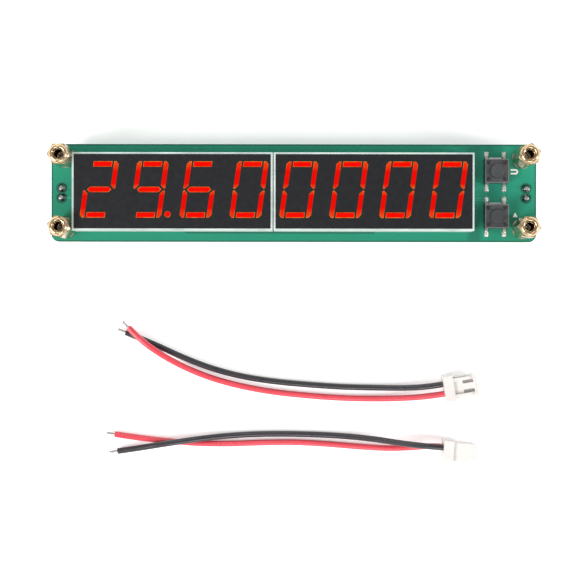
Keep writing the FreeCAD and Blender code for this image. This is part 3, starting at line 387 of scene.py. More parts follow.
# Tin and lead solder as it froze: the brightest white metal on the board.
solder = metal("tin_lead_solder", "#FFFFFD", "#D2D4D2", 0.28, 0.5, 0.005, patch=0.3)
# The same solder, glossy, painted dark in patches: a painted dark reflection, as the joints mirror dark
# surroundings.
solder_painted_dark = metal("solder_painted_dark_reflection", "#B4B7B5", "#454C4A", 0.16, 0.4, 0.012, patch=1.0)
# Stamped contacts: matt pale tin.
contacts = metal("tinned_phosphor_bronze", "#F3F1EC", "#D2CEC6", 0.4, 0.4, 0.004, patch=0.3)
# Unfilled nylon: milky, with light soaking into its edges; the header is the yellower one.
nylon_socket = plastic("natural_nylon_header", "#F1ECDF", "#DDD5C2", 0.3, 0.42, 0.006,
                       subsurface=0.15)
nylon_plug = plastic("natural_nylon_housing", "#D7D5D1", "#C8BEB7", 0.3, 0.4, 0.006,
                     subsurface=0.1)
# Glass-filled black nylon of the keys: dark grey, with pale specks of glass.
moulding = plastic("black_switch_moulding", "#35363A", "#27282B", 0.18, 0.5, 0.008,
                   tint="#55575A")
# Pressed steel cover, chemically blacked: mid grey metal with rolling marks across it.
plate = metal("blackened_steel_plate", "#6A6B6E", "#4C4D50", 0.42, 0.5, 0.008, (6, 0.4, 1))
# Satin acetal of the buttons.
button_black = plastic("black_button_moulding", "#3A3D40", "#2C2F31", 0.15, 0.46, 0.01,
                       tint="#5A5D60")
# A painted highlight: a thin bright steel frame for the light caught by the covers' edges.
cover_edge_highlight = metal("steel_through_blacking", "#B9B9BA", "#77777A", 0.35, 0.3, 0.004)
# Post heads melted by a hot tool: smoother and darker than the moulding.
staked = plastic("hot_staked_moulding", "#1A1B1D", "#121314", 0.1, 0.28, 0.002, coat=0.2,
                 tint="#222325")
# Rolled spring steel: clean, bright, evenly smooth.
dome = metal("spring_steel", "#C9C7C2", "#8D8B86", 0.22, 0.4)
# Transfer-moulded chip packages: matt charcoal with a sandy grain.
epoxy = plastic("chip_moulding_epoxy", "#2B2C2F", "#1E1F21", 0.12, 0.62, 0.012, tint="#50525A")
# Fired alumina with iron in it: matt brown.
ceramic = plastic("fired_ceramic", "#4A3D36", "#352B26", 0.15, 0.55, 0.01)
# Seam-welded nickel lid: satin, with rolling marks along it.
lid = metal("nickel_lid", "#D2CDBF", "#A7A192", 0.22, 0.6, 0.004, (1, 8, 1))
# Deep-drawn aluminium: pale, with upright drawing marks.
can = metal("drawn_aluminium_can", "#DADADC", "#B4B5B8", 0.3, 0.5, 0.006, (1, 1, 6))
# Glass glaze over a resistor's film: glossy black.
resistor = plastic("resistor_glaze", "#1C1C1F", "#121214", 0.2, 0.25, 0.004, coat=0.4)
# Sintered titanate: matt tan.
capacitor = plastic("capacitor_ceramic", "#B48A5C", "#8F6A44", 0.2, 0.5, 0.006)
# Extruded plasticised vinyl: even colour under a soft waxy gloss.
vinyl_black = plastic("black_vinyl_insulation", "#29262B", "#1D1B1F", 0.5, 0.3, 0.006, coat=0.25,
                      tint="#4A484E")
vinyl_red = plastic("red_vinyl_insulation", "#D83C4A", "#BC2A3A", 0.5, 0.3, 0.006, coat=0.25,
                    tint="#F58088")
# Fine tinned copper wire: grey-white glints along the twist.
strands = metal("tinned_copper_strands", "#CFCBC8", "#8A8482", 0.3, 0.3, 0.004)
# Screened epoxy ink: flat white.
ink = plastic("white_marking_ink", "#FDFFFE", "#F0FFF9", 0.2, 0.55, 0.004)

FINISHES = [
    (mask_green, ["circuit_board"]),
    (case_white, ["display_case_left", "display_case_right"]),
    (film_dark, ["display_film_left", "display_film_right"]),
    (carrier_grey, ["display_carrier_left", "display_carrier_right"]),
    (brass, ["standoffs"]),
    (steel, ["rear_screws"]),
    (tin, ["display_pins_left", "display_pins_right", "signal_socket_pins", "power_socket_pins",
           "switch_leads_upper", "switch_leads_lower", "microcontroller_leads",
           "display_driver_leads", "prescaler_leads", "regulator_tab", "protection_diode_ends",
           "input_amplifier_leads", "chip_part_ends"]),
    (contacts, ["signal_terminals", "power_terminals"]),
    (nylon_socket, ["signal_socket", "power_socket"]),
    (nylon_plug, ["signal_plug", "power_plug"]),
    (moulding, ["switch_base_upper", "switch_base_lower"]),
    (plate, ["switch_cover_upper", "switch_cover_lower"]),
    (button_black, ["button_upper", "button_lower"]),
    (dome, ["snap_dome_upper", "snap_dome_lower"]),
    (solder, ["front_solder", "rear_solder"]),
    (epoxy, ["microcontroller", "display_driver", "prescaler", "regulator", "protection_diode",
             "input_amplifier", "capacitor_bases"]),
    (ceramic, ["oscillator_base"]),
    (lid, ["oscillator_lid"]),
    (can, ["capacitor_cans"]),
    (resistor, ["chip_resistors"]),
    (capacitor, ["chip_capacitors"]),
    (lit_core, ["display_segments_left", "display_segments_right"]),
    (vinyl_black, ["signal_wire_black", "power_wire_black"]),
    (vinyl_red, ["signal_wire_red", "power_wire_red"]),
    (strands, ["signal_wire_tips", "power_wire_tips"]),
]
for made, node_names in FINISHES:
    paint(node_names, made)


# Lit digits --------------------------------------------------------------------------------

DIGIT_PITCH, DIGIT_HEIGHT, DIGIT_WIDTH = 12.5, 14.15, 8.15
DIGIT_LEAN = math.tan(math.radians(8.0))
BAR, GAP, BEVEL, SLIM = 1.4, 0.32, 0.7, 0.09
POINT_AT, POINT_DROP, POINT_SIZE = 4.6, 6.2, 1.6
SEGMENT_RIM, POINT_RIM, SEGMENT_RISE = 0.13, 0.12, 0.02
# Segments: 0 top, 1 bottom, 2 middle, 3 upper right, 4 lower right, 5 lower left, 6 upper left.
LIT = {"2": (0, 3, 2, 5, 1), "9": (0, 6, 3, 2, 4, 1), "6": (0, 6, 2, 5, 4, 1),
       "0": (0, 3, 4, 1, 5, 6)}
# Each display's digits, the digit whose point is lit, and how many millimetres to the right of
# the film's middle they sit.
READINGS = {"left": ("2960", 1, 0.5), "right": ("0000", None, -0.1)}


def segment_outlines():
    """The seven segments of an upright digit about its own middle, in millimetres."""
    wide, tall = DIGIT_WIDTH / 2, DIGIT_HEIGHT / 2
    inner = wide - BAR
    reach = inner - GAP
    tip = inner + BAR / 2 - GAP
    near, far = inner + SLIM, wide - SLIM
    level = [(-reach, tall - BAR), (reach, tall - BAR), (reach, tall), (-reach, tall)]
    middle = [(-tip, 0), (-reach, -BAR / 2), (reach, -BAR / 2), (tip, 0), (reach, BAR / 2),
              (-reach, BAR / 2)]
    upright = [(far, GAP), (far, tall - BEVEL), (wide - BEVEL, tall), (near, tall),
               (near, BAR / 2 + GAP), (far - BEVEL / 2, GAP / 2)]
    flips = [(1, 1), (1, -1), (-1, -1), (-1, 1)]
    return ([level, [(x, -y) for x, y in level], middle]
            + [[(x * sx, y * sy) for x, y in upright] for sx, sy in flips])


def flat_plate(corners, z, rim, rise):
    """A thin plate with these corners, its face inset by rim and raised; all in millimetres."""
    area = sum(a[0] * b[1] - b[0] * a[1] for a, b in zip(corners, corners[1:] + corners[:1]))
    ordered = corners if area > 0 else corners[::-1]
    made = outline_of([(x, y, z) for x, y in ordered], "NGON")
    edit_all()
    draw_up(rise)
    bpy.ops.mesh.inset(thickness=rim * MM)
    bpy.ops.transform.translate(value=(0, 0, rise * MM * 0.5))
    close_edit()
    return made


def paint_faces(thing, wanted, index):
    """Give the faces whose middle and normal pass a test another of the piece's materials."""
    for face in thing.data.polygons:
        if wanted(face):
            face.material_index = index


def height_of(thing, face):
    """How far a face reaches along Y."""
    places = [thing.data.vertices[corner].co.y for corner in face.vertices]
    return max(places) - min(places)


def make_reading(side, digits, point, shift):
    """The lit segments of one display, as the thin glowing faces seen through its film."""
    low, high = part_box(f"display_film_{side}")
    middle_x = (low.x + high.x) / 2 / MM
    outlines = segment_outlines()
    plates = []
    for number, digit in enumerate(digits):
        x0 = middle_x + shift + (number - 1.5) * DIGIT_PITCH
        for segment in LIT[digit]:
            corners = [(x0 + x + y * DIGIT_LEAN, DIGIT_MIDDLE + y) for x, y in outlines[segment]]
            plates.append(flat_plate(corners, FILM_TOP, SEGMENT_RIM, SEGMENT_RISE))
        if number == point:
            ring = [(x0 + POINT_AT + POINT_SIZE / 2 * math.cos(angle),
                     DIGIT_MIDDLE - POINT_DROP + POINT_SIZE / 2 * math.sin(angle))
                    for angle in (math.tau * i / 24 for i in range(24))]
            plates.append(flat_plate(ring, FILM_TOP, POINT_RIM, SEGMENT_RISE))
    lit = join(plates)
    piece(lit, f"lit_digits_{side}", "counter", "display_resin", lit_edge, lit_core, lit_upright)
    top = (FILM_TOP + 0.025) * MM
    paint_faces(lit, lambda face: face.center.z > top and face.normal.z > 0.98, 1)
    paint_faces(lit, lambda face: face.material_index == 1 and height_of(lit, face) > 3 * MM, 2)


for side, (digits, point, shift) in READINGS.items():
    make_reading(side, digits, point, shift)


# Printed, soldered and turned detail on the board --------------------------------------------

PAD_RISE, TRACK_RISE, TRACK_STEP, INK_RISE = 0.035, 0.026, 0.004, 0.02
# How solder climbs a pin and a switch lead: pairs of inset and rise.
CONE_STEPS = [(0.12, 0.22), (0.20, 0.24), (0.18, 0.34), (0.16, 0.14)]
TOE_STEPS = [(0.10, 0.14), (0.13, 0.16), (0.12, 0.06)]
HOOK = [(55.45, 4.86), (56.75, 4.86), (57.15, 5.0), (57.4, 5.54), (57.15, 6.08), (56.75, 6.22),
        (55.45, 6.22), (55.45, 5.8), (56.65, 5.8), (56.88, 5.72), (56.98, 5.54), (56.88, 5.36),
        (56.65, 5.28), (55.45, 5.28)]
TRIANGLE = [(55.98, -6.08), (57.27, -6.08), (56.63, -4.93)]
ACROSS_FLATS = 5.0
# Radius and height of the lathe's cut over a standoff, from the foot of its bore, outside and
# over its nose to the countersunk mouth.
NOSE_PROFILE = [(1.27, 0), (2.15, 0), (2.95, 0.42), (2.95, 10.98), (2.55, 11.28), (2.36, 11.46),
                (2.22, 11.66), (2.08, 11.83), (1.92, 11.95), (1.74, 12.0), (1.58, 11.97),
                (1.44, 11.87), (1.34, 11.7), (1.27, 11.45)]
# Each standoff came to rest at its own turn as it was screwed down, in degrees.
STANDOFF_TURNS = {(-1, 1): 30, (1, 1): 47, (1, -1): 24, (-1, -1): 16}
THREAD_PROFILE = [(1.27, -0.21), (1.27, 0.21), (1.09, 0.0)]
THREAD_PITCH, THREAD_STEPS = 0.5, 24


def sheet_of(width, depth):
    """A flat rectangle on z = 0 about its own middle, in millimetres."""
    deselect()
    bpy.ops.mesh.primitive_plane_add(size=MM)
    made = bpy.context.object
    made.data.transform(Matrix.Diagonal((width, depth, 1, 1)))
    return made


def round_of(radius, count):
    """A flat disc on z = 0, with a radius in millimetres and so many corners."""
    deselect()
    bpy.ops.mesh.primitive_circle_add(vertices=count, radius=radius * MM, fill_type="NGON")
    return bpy.context.object


def plate_of(width, depth, rise, corner, steps=3):
    """A flat rounded rectangle lying on z = 0 about its own middle, in millimetres."""
    made = sheet_of(width, depth)
    edit_all()
    bpy.ops.mesh.bevel(offset=corner * MM, segments=steps, affect="VERTICES")
    draw_up(rise)
    close_edit()
    return made


def rim_of(made, line, rise):
    """Only a line so wide round a flat shape's edge, given a height; in millimetres."""
    edit_all()
    bpy.ops.mesh.inset(thickness=line * MM)
    bpy.ops.mesh.delete(type="FACE")
    bpy.ops.mesh.select_all(action="SELECT")
    draw_up(rise)
    close_edit()
    return made


def washer_of(inner, outer, rise, count=40):
    """A flat ring lying on z = 0, from its inner to its outer radius in millimetres."""
    return rim_of(round_of(outer, count), outer - inner, rise)


def raised_by(made, steps):
    """Step a piece's top face in and up, over and over: pairs of inset and rise, in millimetres."""
    bpy.ops.object.mode_set(mode="EDIT")
    bpy.ops.mesh.select_mode(type="FACE")
    bpy.ops.mesh.select_all(action="DESELECT")
    bpy.ops.object.mode_set(mode="OBJECT")
    top = max(face.center.z for face in made.data.polygons)
    for face in made.data.polygons:
        face.select = face.center.z > top - 1e-6
    bpy.ops.object.mode_set(mode="EDIT")
    for inset, rise in steps:
        bpy.ops.mesh.inset(thickness=inset * MM, depth=rise * MM)
    bpy.ops.object.mode_set(mode="OBJECT")
    return made


def smoothed(made, levels=2):
    """A subdivided skin over the piece's cage, applied, with smooth shading."""
    only(made)
    skin = made.modifiers.new("skin", "SUBSURF")
    skin.levels = levels
    skin.render_levels = levels
    bpy.ops.object.modifier_apply(modifier=skin.name)
    bpy.ops.object.shade_smooth()
    return made


def make_pads():
    """Tinned copper round the standoffs, under the switch leads and round the socket pins."""
    mounts = [move(sx * MOUNT_X, sy * MOUNT_Y, BOARD_TOP) for sx, sy in CORNERS]
    toes = [move(SWITCH_X + dx, y + side * (LEAD_SPAN - 0.2), BOARD_TOP)
            for y in SWITCH_Y for dx in (-LEAD_X, LEAD_X) for side in (-1, 1)]
    pins = [move(sx * PIN_X, sy * PIN_Y, BOARD_TOP) for sx, sy in CORNERS]
    pads = [copy_to(washer_of(1.65, 2.7, PAD_RISE), mounts),
            copy_to(plate_of(1.25, 1.5, PAD_RISE, 0.25), toes),
            copy_to(washer_of(0.5, 0.95, PAD_RISE, 28), pins)]
    piece(join(pads), "tinned_pads", "counter", "tinned_steel", tin)


def make_joints():
    """Solder at the socket pins and over the toes of the switch leads, as it froze: concave
    fillets with rounded shoulders, no two quite alike."""
    cone = round_of(1.08, 20)
    edit_all()
    draw_up(0.04)
    close_edit()
    cone = smoothed(raised_by(cone, CONE_STEPS))
    places = []
    for sx, sy in CORNERS:
        lean = Matrix.Rotation(random.uniform(-0.14, 0.14), 4, "Y")
        swell = Matrix.Diagonal((random.uniform(1.02, 1.14), random.uniform(0.94, 1.04), 1, 1))
        stand = move(sx * PIN_X, sy * PIN_Y, BOARD_TOP, random.uniform(-25, 25))
        places.append(stand @ lean @ swell)
    # The socket pins' joints take the solder with the painted dark reflection.
    piece(copy_to(cone, places), "pin_joints", "counter", "solder", solder_painted_dark)
    toe = smoothed(raised_by(plate_of(1.22, 1.5, 0.03, 0.32), TOE_STEPS))
    spots = []
    for y in SWITCH_Y:
        for dx in (-LEAD_X, LEAD_X):
            for side in (-1, 1):
                swell = Matrix.Diagonal((random.uniform(0.92, 1.05), random.uniform(0.9, 1.1),
                                         random.uniform(0.9, 1.15), 1))
                spots.append(move(SWITCH_X + dx, y + side * (LEAD_SPAN - 0.25),
                                  BOARD_TOP + 0.02) @ swell)
    joints = piece(copy_to(toe, spots), "front_joints", "counter", "solder", solder)
    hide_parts("front_solder")


def strip(x0, y0, x1, y1, width, z, rise):
    """A straight printed line between two points, in millimetres."""
    run = math.hypot(x1 - x0, y1 - y0)
    line = plate_of(run + width, width, rise, width * 0.4, 2)
    turn = math.degrees(math.atan2(y1 - y0, x1 - x0))
    line.data.transform(move((x0 + x1) / 2, (y0 + y1) / 2, z, turn))
    return line


def path_of(points, width, z, side=1):
    """A printed line through several points, on the board's front (side 1) or rear (side -1) at
    height z; its runs differ a little in thickness, so that no two faces share a plane."""
    runs = []
    for number, (a, b) in enumerate(zip(points, points[1:])):
        rise = TRACK_RISE + TRACK_STEP * (number % 2)
        runs.append(strip(*a, *b, width, z if side > 0 else z - rise, rise))
    return runs


def frame_of(width, depth, line, rise):
    """A flat rectangular outline lying on z = 0 about its own middle, in millimetres."""
    return rim_of(sheet_of(width, depth), line, rise)


def make_front_tracks():
    """Copper tracks standing a little proud under the solder mask of the front face."""
    lines = path_of([(-PIN_X, -PIN_Y), (-55.9, -1.3)], 0.5, BOARD_TOP)
    for y in (1.7, 1.15, -1.25, -1.8):
        lines += path_of([(45.0, y), (49.2, y)], 0.22, BOARD_TOP)
    for x in (-LEAD_X, LEAD_X):
        lines += path_of([(SWITCH_X + x, 0.6), (SWITCH_X + x, -1.7)], 0.3, BOARD_TOP)
    piece(join(lines), "front_tracks", "counter", "solder_mask", tracks_green)


def make_front_print():
    """White marking ink: a line behind each key, and the hook and triangle beside them."""
    marks = [strip(SWITCH_X - 1.45, y + 3.52, SWITCH_X + 1.45, y + 3.52, 0.26, BOARD_TOP, INK_RISE)
             for y in SWITCH_Y]
    for corners in (HOOK, TRIANGLE):
        marks.append(flat_plate(corners, BOARD_TOP, 0.03, 0.015))
    piece(join(marks), "front_print", "counter", "display_case", ink)


# Corners and widths of the rear tracks: supply, ground, input signal, clock.
REAR_TRACKS = [
    ([(PIN_X, -PIN_Y), (55.2, -1.25), (52.4, -0.9), (49.4, -1.7)], 0.9),
    ([(49.4, -6.6), (49.4, -7.6), (47.8, -9.2), (41.0, -9.2), (41.0, -8.0)], 0.9),
    ([(PIN_X, PIN_Y), (56.5, 1.25), (55.5, 0.3), (33.5, 0.3)], 0.9),
    ([(36.7, -4.6), (33.0, -4.6), (31.5, -6.1), (31.5, -10.9), (-46.6, -10.9), (-48.6, -8.9)], 0.6),
    ([(-PIN_X, PIN_Y), (-56.0, 1.25), (-54.5, 0.0), (-52.6, -0.2), (-51.4, -1.6)], 0.4),
    ([(-50.5, -4.8), (-49.0, -5.3), (-47.0, -3.3)], 0.3),
    ([(-43.9, 3.1), (-42.4, 4.6), (-30.0, 4.6), (-28.4, 6.2), (-14.6, 6.2), (-13.4, 5.2)], 0.3),
    ([(-17.0, -2.8), (-17.0, -4.4), (-15.6, -5.8), (-13.4, -5.8)], 0.25),
]
# Buses: nested loops from chip to chip, one lane for each of the legs, which are 1.27 mm apart.
LEG_PITCH, BUS_LINE, LANE_STEP = 1.27, 0.16, 0.32
for lane in range(5):
    start, end = -1.9 + LEG_PITCH * lane, 16.9 - LEG_PITCH * lane
    for face in (-1, 1):
        out, back = 5.2 * face, (7.0 - LANE_STEP * lane) * face
        REAR_TRACKS.append(([(start, out), (start, back), (end, back), (end, out)], BUS_LINE))
for lane in range(4):
    start, end, back = -36.35 + 2 * LEG_PITCH * lane, -5.1 - LEG_PITCH * lane, -9.9 + 0.3 * lane
    REAR_TRACKS.append(([(start, -8.7), (start, back), (end, back), (end, -5.4)], BUS_LINE))
REAR_OUTLINES = ["microcontroller", "display_driver", "prescaler", "oscillator_base",
                 "input_amplifier", "protection_diode", "regulator", "signal_socket",
                 "power_socket"]
VIAS = [(-54.5, 0.0), (-41.0, -4.0), (-40.2, 2.2), (-33.0, -2.5), (-26.5, 2.0), (-24.8, -4.9),
        (7.2, 3.0), (6.4, 0.6), (7.6, -2.4), (6.2, -4.4), (32.6, 3.4), (33.8, -2.2), (34.6, 6.1),
        (31.5, -10.9), (-48.6, -8.9), (46.2, -10.4), (55.4, -8.0), (-56.4, 5.6), (-55.2, -6.4),
        (0.4, 9.6), (3.6, 10.2), (29.6, 9.4), (-20.4, 9.8), (-45.0, 9.2)]
VIA_RISE = 0.04


def make_rear_tracks():
    """The tracks of the rear face, under its solder mask."""
    lines = []
    for points, width in REAR_TRACKS:
        lines += path_of(points, width, BOARD_REAR, -1)
    piece(join(lines), "rear_tracks", "counter", "solder_mask", tracks_green)


def make_vias():
    """Plated through holes' rims on the rear face."""
    places = [move(x, y, BOARD_REAR - VIA_RISE) for x, y in VIAS]
    rims = copy_to(washer_of(0.18, 0.42, VIA_RISE, 20), places)
    piece(rims, "vias", "counter", "tinned_steel", tin)


def make_rear_print():
    """White outlines a little wider than the rear parts they stand round."""
    marks = []
    for name in REAR_OUTLINES:
        low, high = (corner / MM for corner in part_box(name))
        outline = frame_of(high.x - low.x + 0.5, high.y - low.y + 0.5, 0.15, INK_RISE)
        outline.data.transform(move((low.x + high.x) / 2, (low.y + high.y) / 2,
                                    BOARD_REAR - INK_RISE))
        marks.append(outline)
    piece(join(marks), "rear_print", "counter", "display_case", ink)


def make_switch_trim():
    """The keys' covers: a painted highlight along their edges, and four hot-staked posts."""
    covers = [move(SWITCH_X, y, COVER_TOP) for y in SWITCH_Y]
    # The bright frame on each cover's edge is a painted highlight.
    rims = copy_to(frame_of(5.98, 5.98, 0.15, 0.02), covers)
    piece(rims, "cover_edges", "counter", "switch_plate", cover_edge_highlight)
    deselect()
    bpy.ops.mesh.primitive_uv_sphere_add(segments=20, ring_count=12, radius=0.5 * MM)
    head = bpy.context.object
    head.data.transform(Matrix.Diagonal((1, 1, 0.36, 1)))
    edit_all()
    bpy.ops.mesh.bisect(plane_co=(0, 0, 0), plane_no=(0, 0, 1), use_fill=True, clear_inner=True)
    close_edit()
    bpy.ops.object.shade_smooth_by_angle(angle=math.radians(40))
    spots = [move(SWITCH_X + sx * POST_OUT, y + sy * POST_OUT, POST_TOP)
             for y in SWITCH_Y for sx, sy in CORNERS]
    piece(copy_to(head, spots), "staked_posts", "counter", "black_moulding", staked)


def make_dome(row):
    """The snap dome under a key's button: a shallow spring disc, drawn at rest; the real one
    flattens as the key goes down."""
    low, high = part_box(f"snap_dome_{row}")
    sheet = 0.06 * MM
    half = (high.x - low.x) / 2 - 0.02 * MM
    rise = high.z - low.z - sheet
    curve = (half ** 2 + rise ** 2) / (2 * rise)
    deselect()
    bpy.ops.mesh.primitive_uv_sphere_add(
        segments=48, ring_count=100, radius=curve,
        location=((low.x + high.x) / 2, (low.y + high.y) / 2, high.z - curve))
    disc = settle(bpy.context.object)
    edit_all()
    bpy.ops.mesh.bisect(plane_co=(0, 0, low.z + sheet), plane_no=(0, 0, 1), clear_inner=True)
    bpy.ops.object.mode_set(mode="OBJECT")
    wall = disc.modifiers.new("sheet", "SOLIDIFY")
    wall.thickness = sheet
    bpy.ops.object.modifier_apply(modifier=wall.name)
    bpy.ops.object.shade_smooth_by_angle(angle=math.radians(40))
    piece(disc, f"spring_disc_{row}", "counter", "dome_steel", dome)
    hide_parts(f"snap_dome_{row}")
    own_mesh(disc)


def make_standoffs():
    """Turned and milled standoffs: hexagon stock with a rounded lathe-cut nose, a countersunk
    mouth, and edges eased by the tool."""
    deselect()
    bpy.ops.mesh.primitive_cylinder_add(
        vertices=6, radius=ACROSS_FLATS / 2 / math.cos(math.pi / 6) * MM,
        depth=STANDOFF_HEIGHT * MM, location=(0, 0, STANDOFF_HEIGHT / 2 * MM))
    hexagon = settle(bpy.context.object)
    lathe = outline_of([(x, 0, z) for x, z in NOSE_PROFILE])
    edit_all()
    bpy.ops.mesh.spin(steps=48, angle=math.tau, center=(0, 0, 0), axis=(0, 0, 1))
    bpy.ops.mesh.select_all(action="SELECT")
    bpy.ops.mesh.remove_doubles(threshold=0.002 * MM)
    close_edit()
    only(hexagon)
    cut = hexagon.modifiers.new("nose", "BOOLEAN")
    cut.operation = "INTERSECT"
    cut.solver = "EXACT"
    cut.object = lathe
    bpy.ops.object.modifier_apply(modifier=cut.name)
    bpy.data.objects.remove(lathe)
    only(hexagon)
    bpy.ops.object.shade_smooth_by_angle(angle=math.radians(28))
    places = [move(sx * MOUNT_X, sy * MOUNT_Y, BOARD_TOP, turn)
              for (sx, sy), turn in STANDOFF_TURNS.items()]
    pillars = piece(copy_to(hexagon, places), "turned_standoffs", "counter", "brass", brass)
    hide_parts("standoffs")


def make_threads():
    """The front thread of the standoffs: a ridge wound round the inside of each bore."""
    deepest, highest = STANDOFF_TOP - 6.6, STANDOFF_TOP - 0.75
    turns = round((highest - deepest) / THREAD_PITCH)
    ridge = outline_of([(x, 0, z) for x, z in THREAD_PROFILE])
    bpy.ops.object.mode_set(mode="EDIT")
    bpy.ops.mesh.select_mode(type="VERT")
    bpy.ops.mesh.select_all(action="SELECT")
    climb = {"value": (0, 0, THREAD_PITCH * MM / THREAD_STEPS)}
    for _ in range(turns * THREAD_STEPS):
        bpy.ops.mesh.extrude_edges_move(TRANSFORM_OT_translate=climb)
        bpy.ops.transform.rotate(value=-math.tau / THREAD_STEPS, orient_axis="Z",
                                 center_override=(0, 0, 0))
    close_edit()
    bpy.ops.object.shade_smooth()
    places = [move(sx * MOUNT_X, sy * MOUNT_Y, deepest, 70 * sx + 35 * sy) for sx, sy in CORNERS]
    piece(copy_to(ridge, places), "standoff_threads", "counter", "brass", brass)


make_pads()
make_joints()
make_front_tracks()
make_front_print()
for row in ("upper", "lower"):
    make_dome(row)
make_rear_tracks()
make_vias()
make_rear_print()
make_switch_trim()
make_standoffs()
make_threads()


# Leads -------------------------------------------------------------------------------------

WIRE = 1.6
# Points that each wire runs by, from its plug to its bare end.
ROUTES = {
    "signal_wire_black": [
        (38.844, -49.267, 2.325), (34.603, -49.977, 2.325), (28.5, -50.3, 1.6),
        (21.5, -50.25, 0.95), (13.0, -50.1, 0.82), (4.0, -49.5, 0.82), (-5.0, -48.7, 0.82), (-13.0, -47.5, 0.82),
        (-20.8, -45.5, 0.82), (-28.3, -42.7, 0.82), (-36.5, -38.9, 0.82), (-43.8, -35.9, 0.82)],
    "signal_wire_red": [
        (39.256, -51.733, 2.325), (34.917, -52.459, 2.325), (28.5, -52.95, 1.65),
        (21.0, -53.15, 0.95), (12.5, -53.0, 0.82), (4.0, -52.4, 0.82), (-5.0, -51.5, 0.82), (-13.0, -50.1, 0.82),
        (-20.0, -48.3, 0.85), (-26.2, -46.0, 1.25), (-31.6, -43.3, 2.3), (-36.6, -40.2, 2.75),
        (-40.3, -37.3, 2.75), (-42.9, -34.6, 2.5)],
    "power_wire_black": [
        (38.737, -65.426, 4.95), (34.248, -65.112, 4.95), (28.0, -64.5, 3.6), (21.5, -63.6, 2.1),
        (14.5, -62.95, 1.05), (6.5, -62.5, 0.83), (-2.0, -62.3, 0.83), (-10.0, -62.4, 0.83),
        (-17.0, -62.8, 1.05), (-23.5, -63.4, 1.95), (-29.0, -64.15, 2.65), (-34.5, -65.0, 2.6),
        (-40.0, -66.0, 1.5), (-45.8, -66.9, 0.95)],
    "power_wire_red": [
        (38.737, -65.426, 2.45), (35.744, -65.217, 2.45), (30.6, -65.75, 1.9), (25.0, -66.1, 1.05),
        (17.5, -65.7, 0.85), (9.0, -64.95, 0.83), (0.5, -64.5, 0.83), (-8.0, -64.6, 0.83),
        (-16.0, -64.95, 0.83), (-24.0, -64.9, 0.83), (-32.0, -64.35, 0.83), (-39.5, -63.55, 0.83),
        (-46.6, -62.5, 0.83)],
}
# The bared ends: a strand's radius, their length, and the twist in degrees of each of the steps
# they are drawn in.
STRAND, STRIPPED, TIP_STEPS, TIP_TWIST = 0.125, 2.3, 10, 26


def make_tips(lead):
    """The bared ends of one lead's wires: six strands twisted round a seventh, in line with each
    wire's last run."""
    rounds = []
    for number in range(7):
        angle = math.tau * number / 6
        away = 0.0 if number == 6 else 2.02 * STRAND
        rounds.append(round_of(STRAND, 8))
        rounds[-1].data.transform(move(away * math.cos(angle), away * math.sin(angle), 0))
    twist = join(rounds)
    edit_all()
    for _ in range(TIP_STEPS):
        draw_up(STRIPPED / TIP_STEPS)
        bpy.ops.transform.rotate(value=math.radians(TIP_TWIST), orient_axis="Z",
                                 center_override=(0, 0, 0))
    close_edit()
    bpy.ops.object.shade_smooth_by_angle(angle=math.radians(60))
    places = []
    for colour in ("black", "red"):
        before, end = (Vector(point) for point in ROUTES[f"{lead}_wire_{colour}"][-2:])
        along = (end - before).normalized()
        aim = along.to_track_quat("Z", "Y").to_matrix().to_4x4()
        places.append(Matrix.Translation((end - along * 0.1) * MM) @ aim)
    tips = piece(copy_to(twist, places), f"{lead}_strands", f"{lead}_lead", "tinned_copper",
                 strands)
    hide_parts(f"{lead}_wire_tips")


def make_cord(name, made):
    """A wire's vinyl insulation: a round tube along its route's smooth line."""
    lead = name.split("_")[0]
    route = [Vector(point) * MM for point in ROUTES[name]]
    line = bpy.data.curves.new(name + "_vinyl", "CURVE")
    line.dimensions = "3D"
    spline = line.splines.new("NURBS")
    spline.points.add(len(route) - 1)
    for knot, point in zip(spline.points, route):
        knot.co = (*point, 1.0)
    spline.order_u = 3
    spline.use_endpoint_u = True
    spline.resolution_u = 8
    line.bevel_depth = WIRE / 2 * MM
    line.bevel_resolution = 5
    line.use_fill_caps = True
    cord = bpy.data.objects.new(name + "_vinyl", line)
    bpy.context.scene.collection.objects.link(cord)
    line.materials.append(made)
    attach(cord, f"{lead}_lead")
    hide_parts(name)


for lead in ("signal", "power"):
    make_tips(lead)
for name in ROUTES:
    make_cord(name, vinyl_black if "black" in name else vinyl_red)


# Bench, light and camera -------------------------------------------------------------------

LIT_PLACE = Vector((0, -0.02, 0))
CAMERA_PLACE = (-1.46 * MM, -24.27 * MM, 378.6 * MM)


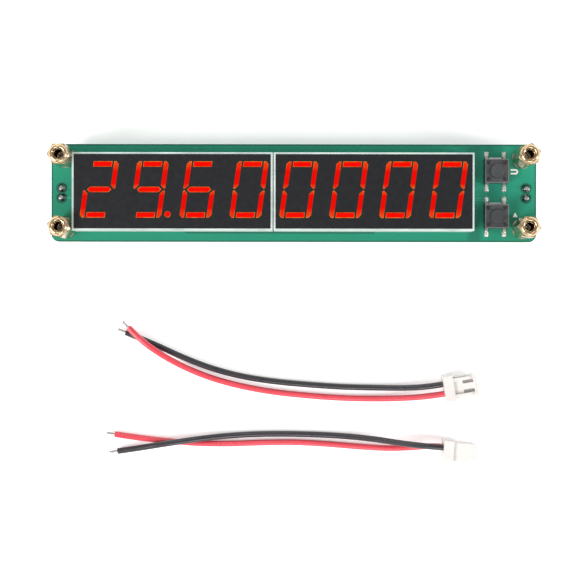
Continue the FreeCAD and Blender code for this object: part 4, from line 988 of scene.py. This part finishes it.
def make_bench():
    """A wide white sheet, lit from within enough that shadows on it stay faint."""
    deselect()
    bpy.ops.mesh.primitive_plane_add(size=3.0, location=(0, -0.02, -0.0002))
    bench = bpy.context.object
    bench.name = "bench"
    made, add = new_material("opal_acrylic_sheet")
    tone = add("TexNoise", {"Vector": add("TexCoord").outputs["Object"], "Scale": 1 / (40 * MM),
                            "Detail": 3.0, "Roughness": 0.55})
    white = add("Mix", {0: tone, 6: linear("#F4F4F4"), 7: linear("#EFEFEF")}, data_type="RGBA")
    bench.data.materials.append(finish_material(made, add, {
        "Base Color": white, "Roughness": 0.9, "Specular IOR Level": 0.1,
        "Emission Color": linear("#FFFFFF"), "Emission Strength": 0.35}))


def make_light(name, place, across, power):
    """A white softbox turned to the object; its place and size in metres, its power in watts."""
    lamp = bpy.data.lights.new(name, "AREA")
    lamp.shape = "RECTANGLE"
    lamp.size, lamp.size_y = across
    lamp.energy = power
    holder = bpy.data.objects.new(name, lamp)
    bpy.context.scene.collection.objects.link(holder)
    holder.location = place
    holder.rotation_euler = (LIT_PLACE - Vector(place)).to_track_quat("-Z", "Y").to_euler()


make_bench()
make_light("key_softbox", (-0.68, -0.42, 0.75), (0.5, 0.4), 9)
make_light("front_softbox", (0.15, -0.8, 0.7), (0.5, 0.3), 4)
make_light("rear_softbox", (-0.2, 0.8, 0.75), (0.5, 0.3), 2)
make_light("side_strip", (0.8, -0.2, 0.5), (0.15, 0.6), 4)
world = bpy.data.worlds.new("studio")
bpy.context.scene.world = world
world.use_nodes = True
sky = world.node_tree.nodes["Background"].inputs
sky["Color"].default_value = linear("#FFFFFF")
sky["Strength"].default_value = 0.45

camera = bpy.data.cameras.new("overhead_camera")
camera.lens = 90.4
camera.sensor_width = 36.0
camera.clip_start = 0.01
viewer = bpy.data.objects.new("overhead_camera", camera)
bpy.context.scene.collection.objects.link(viewer)
viewer.location = CAMERA_PLACE
viewer.rotation_euler = (0, 0, math.radians(0.08))
bpy.context.scene.camera = viewer
bpy.context.scene.view_settings.view_transform = "Standard"
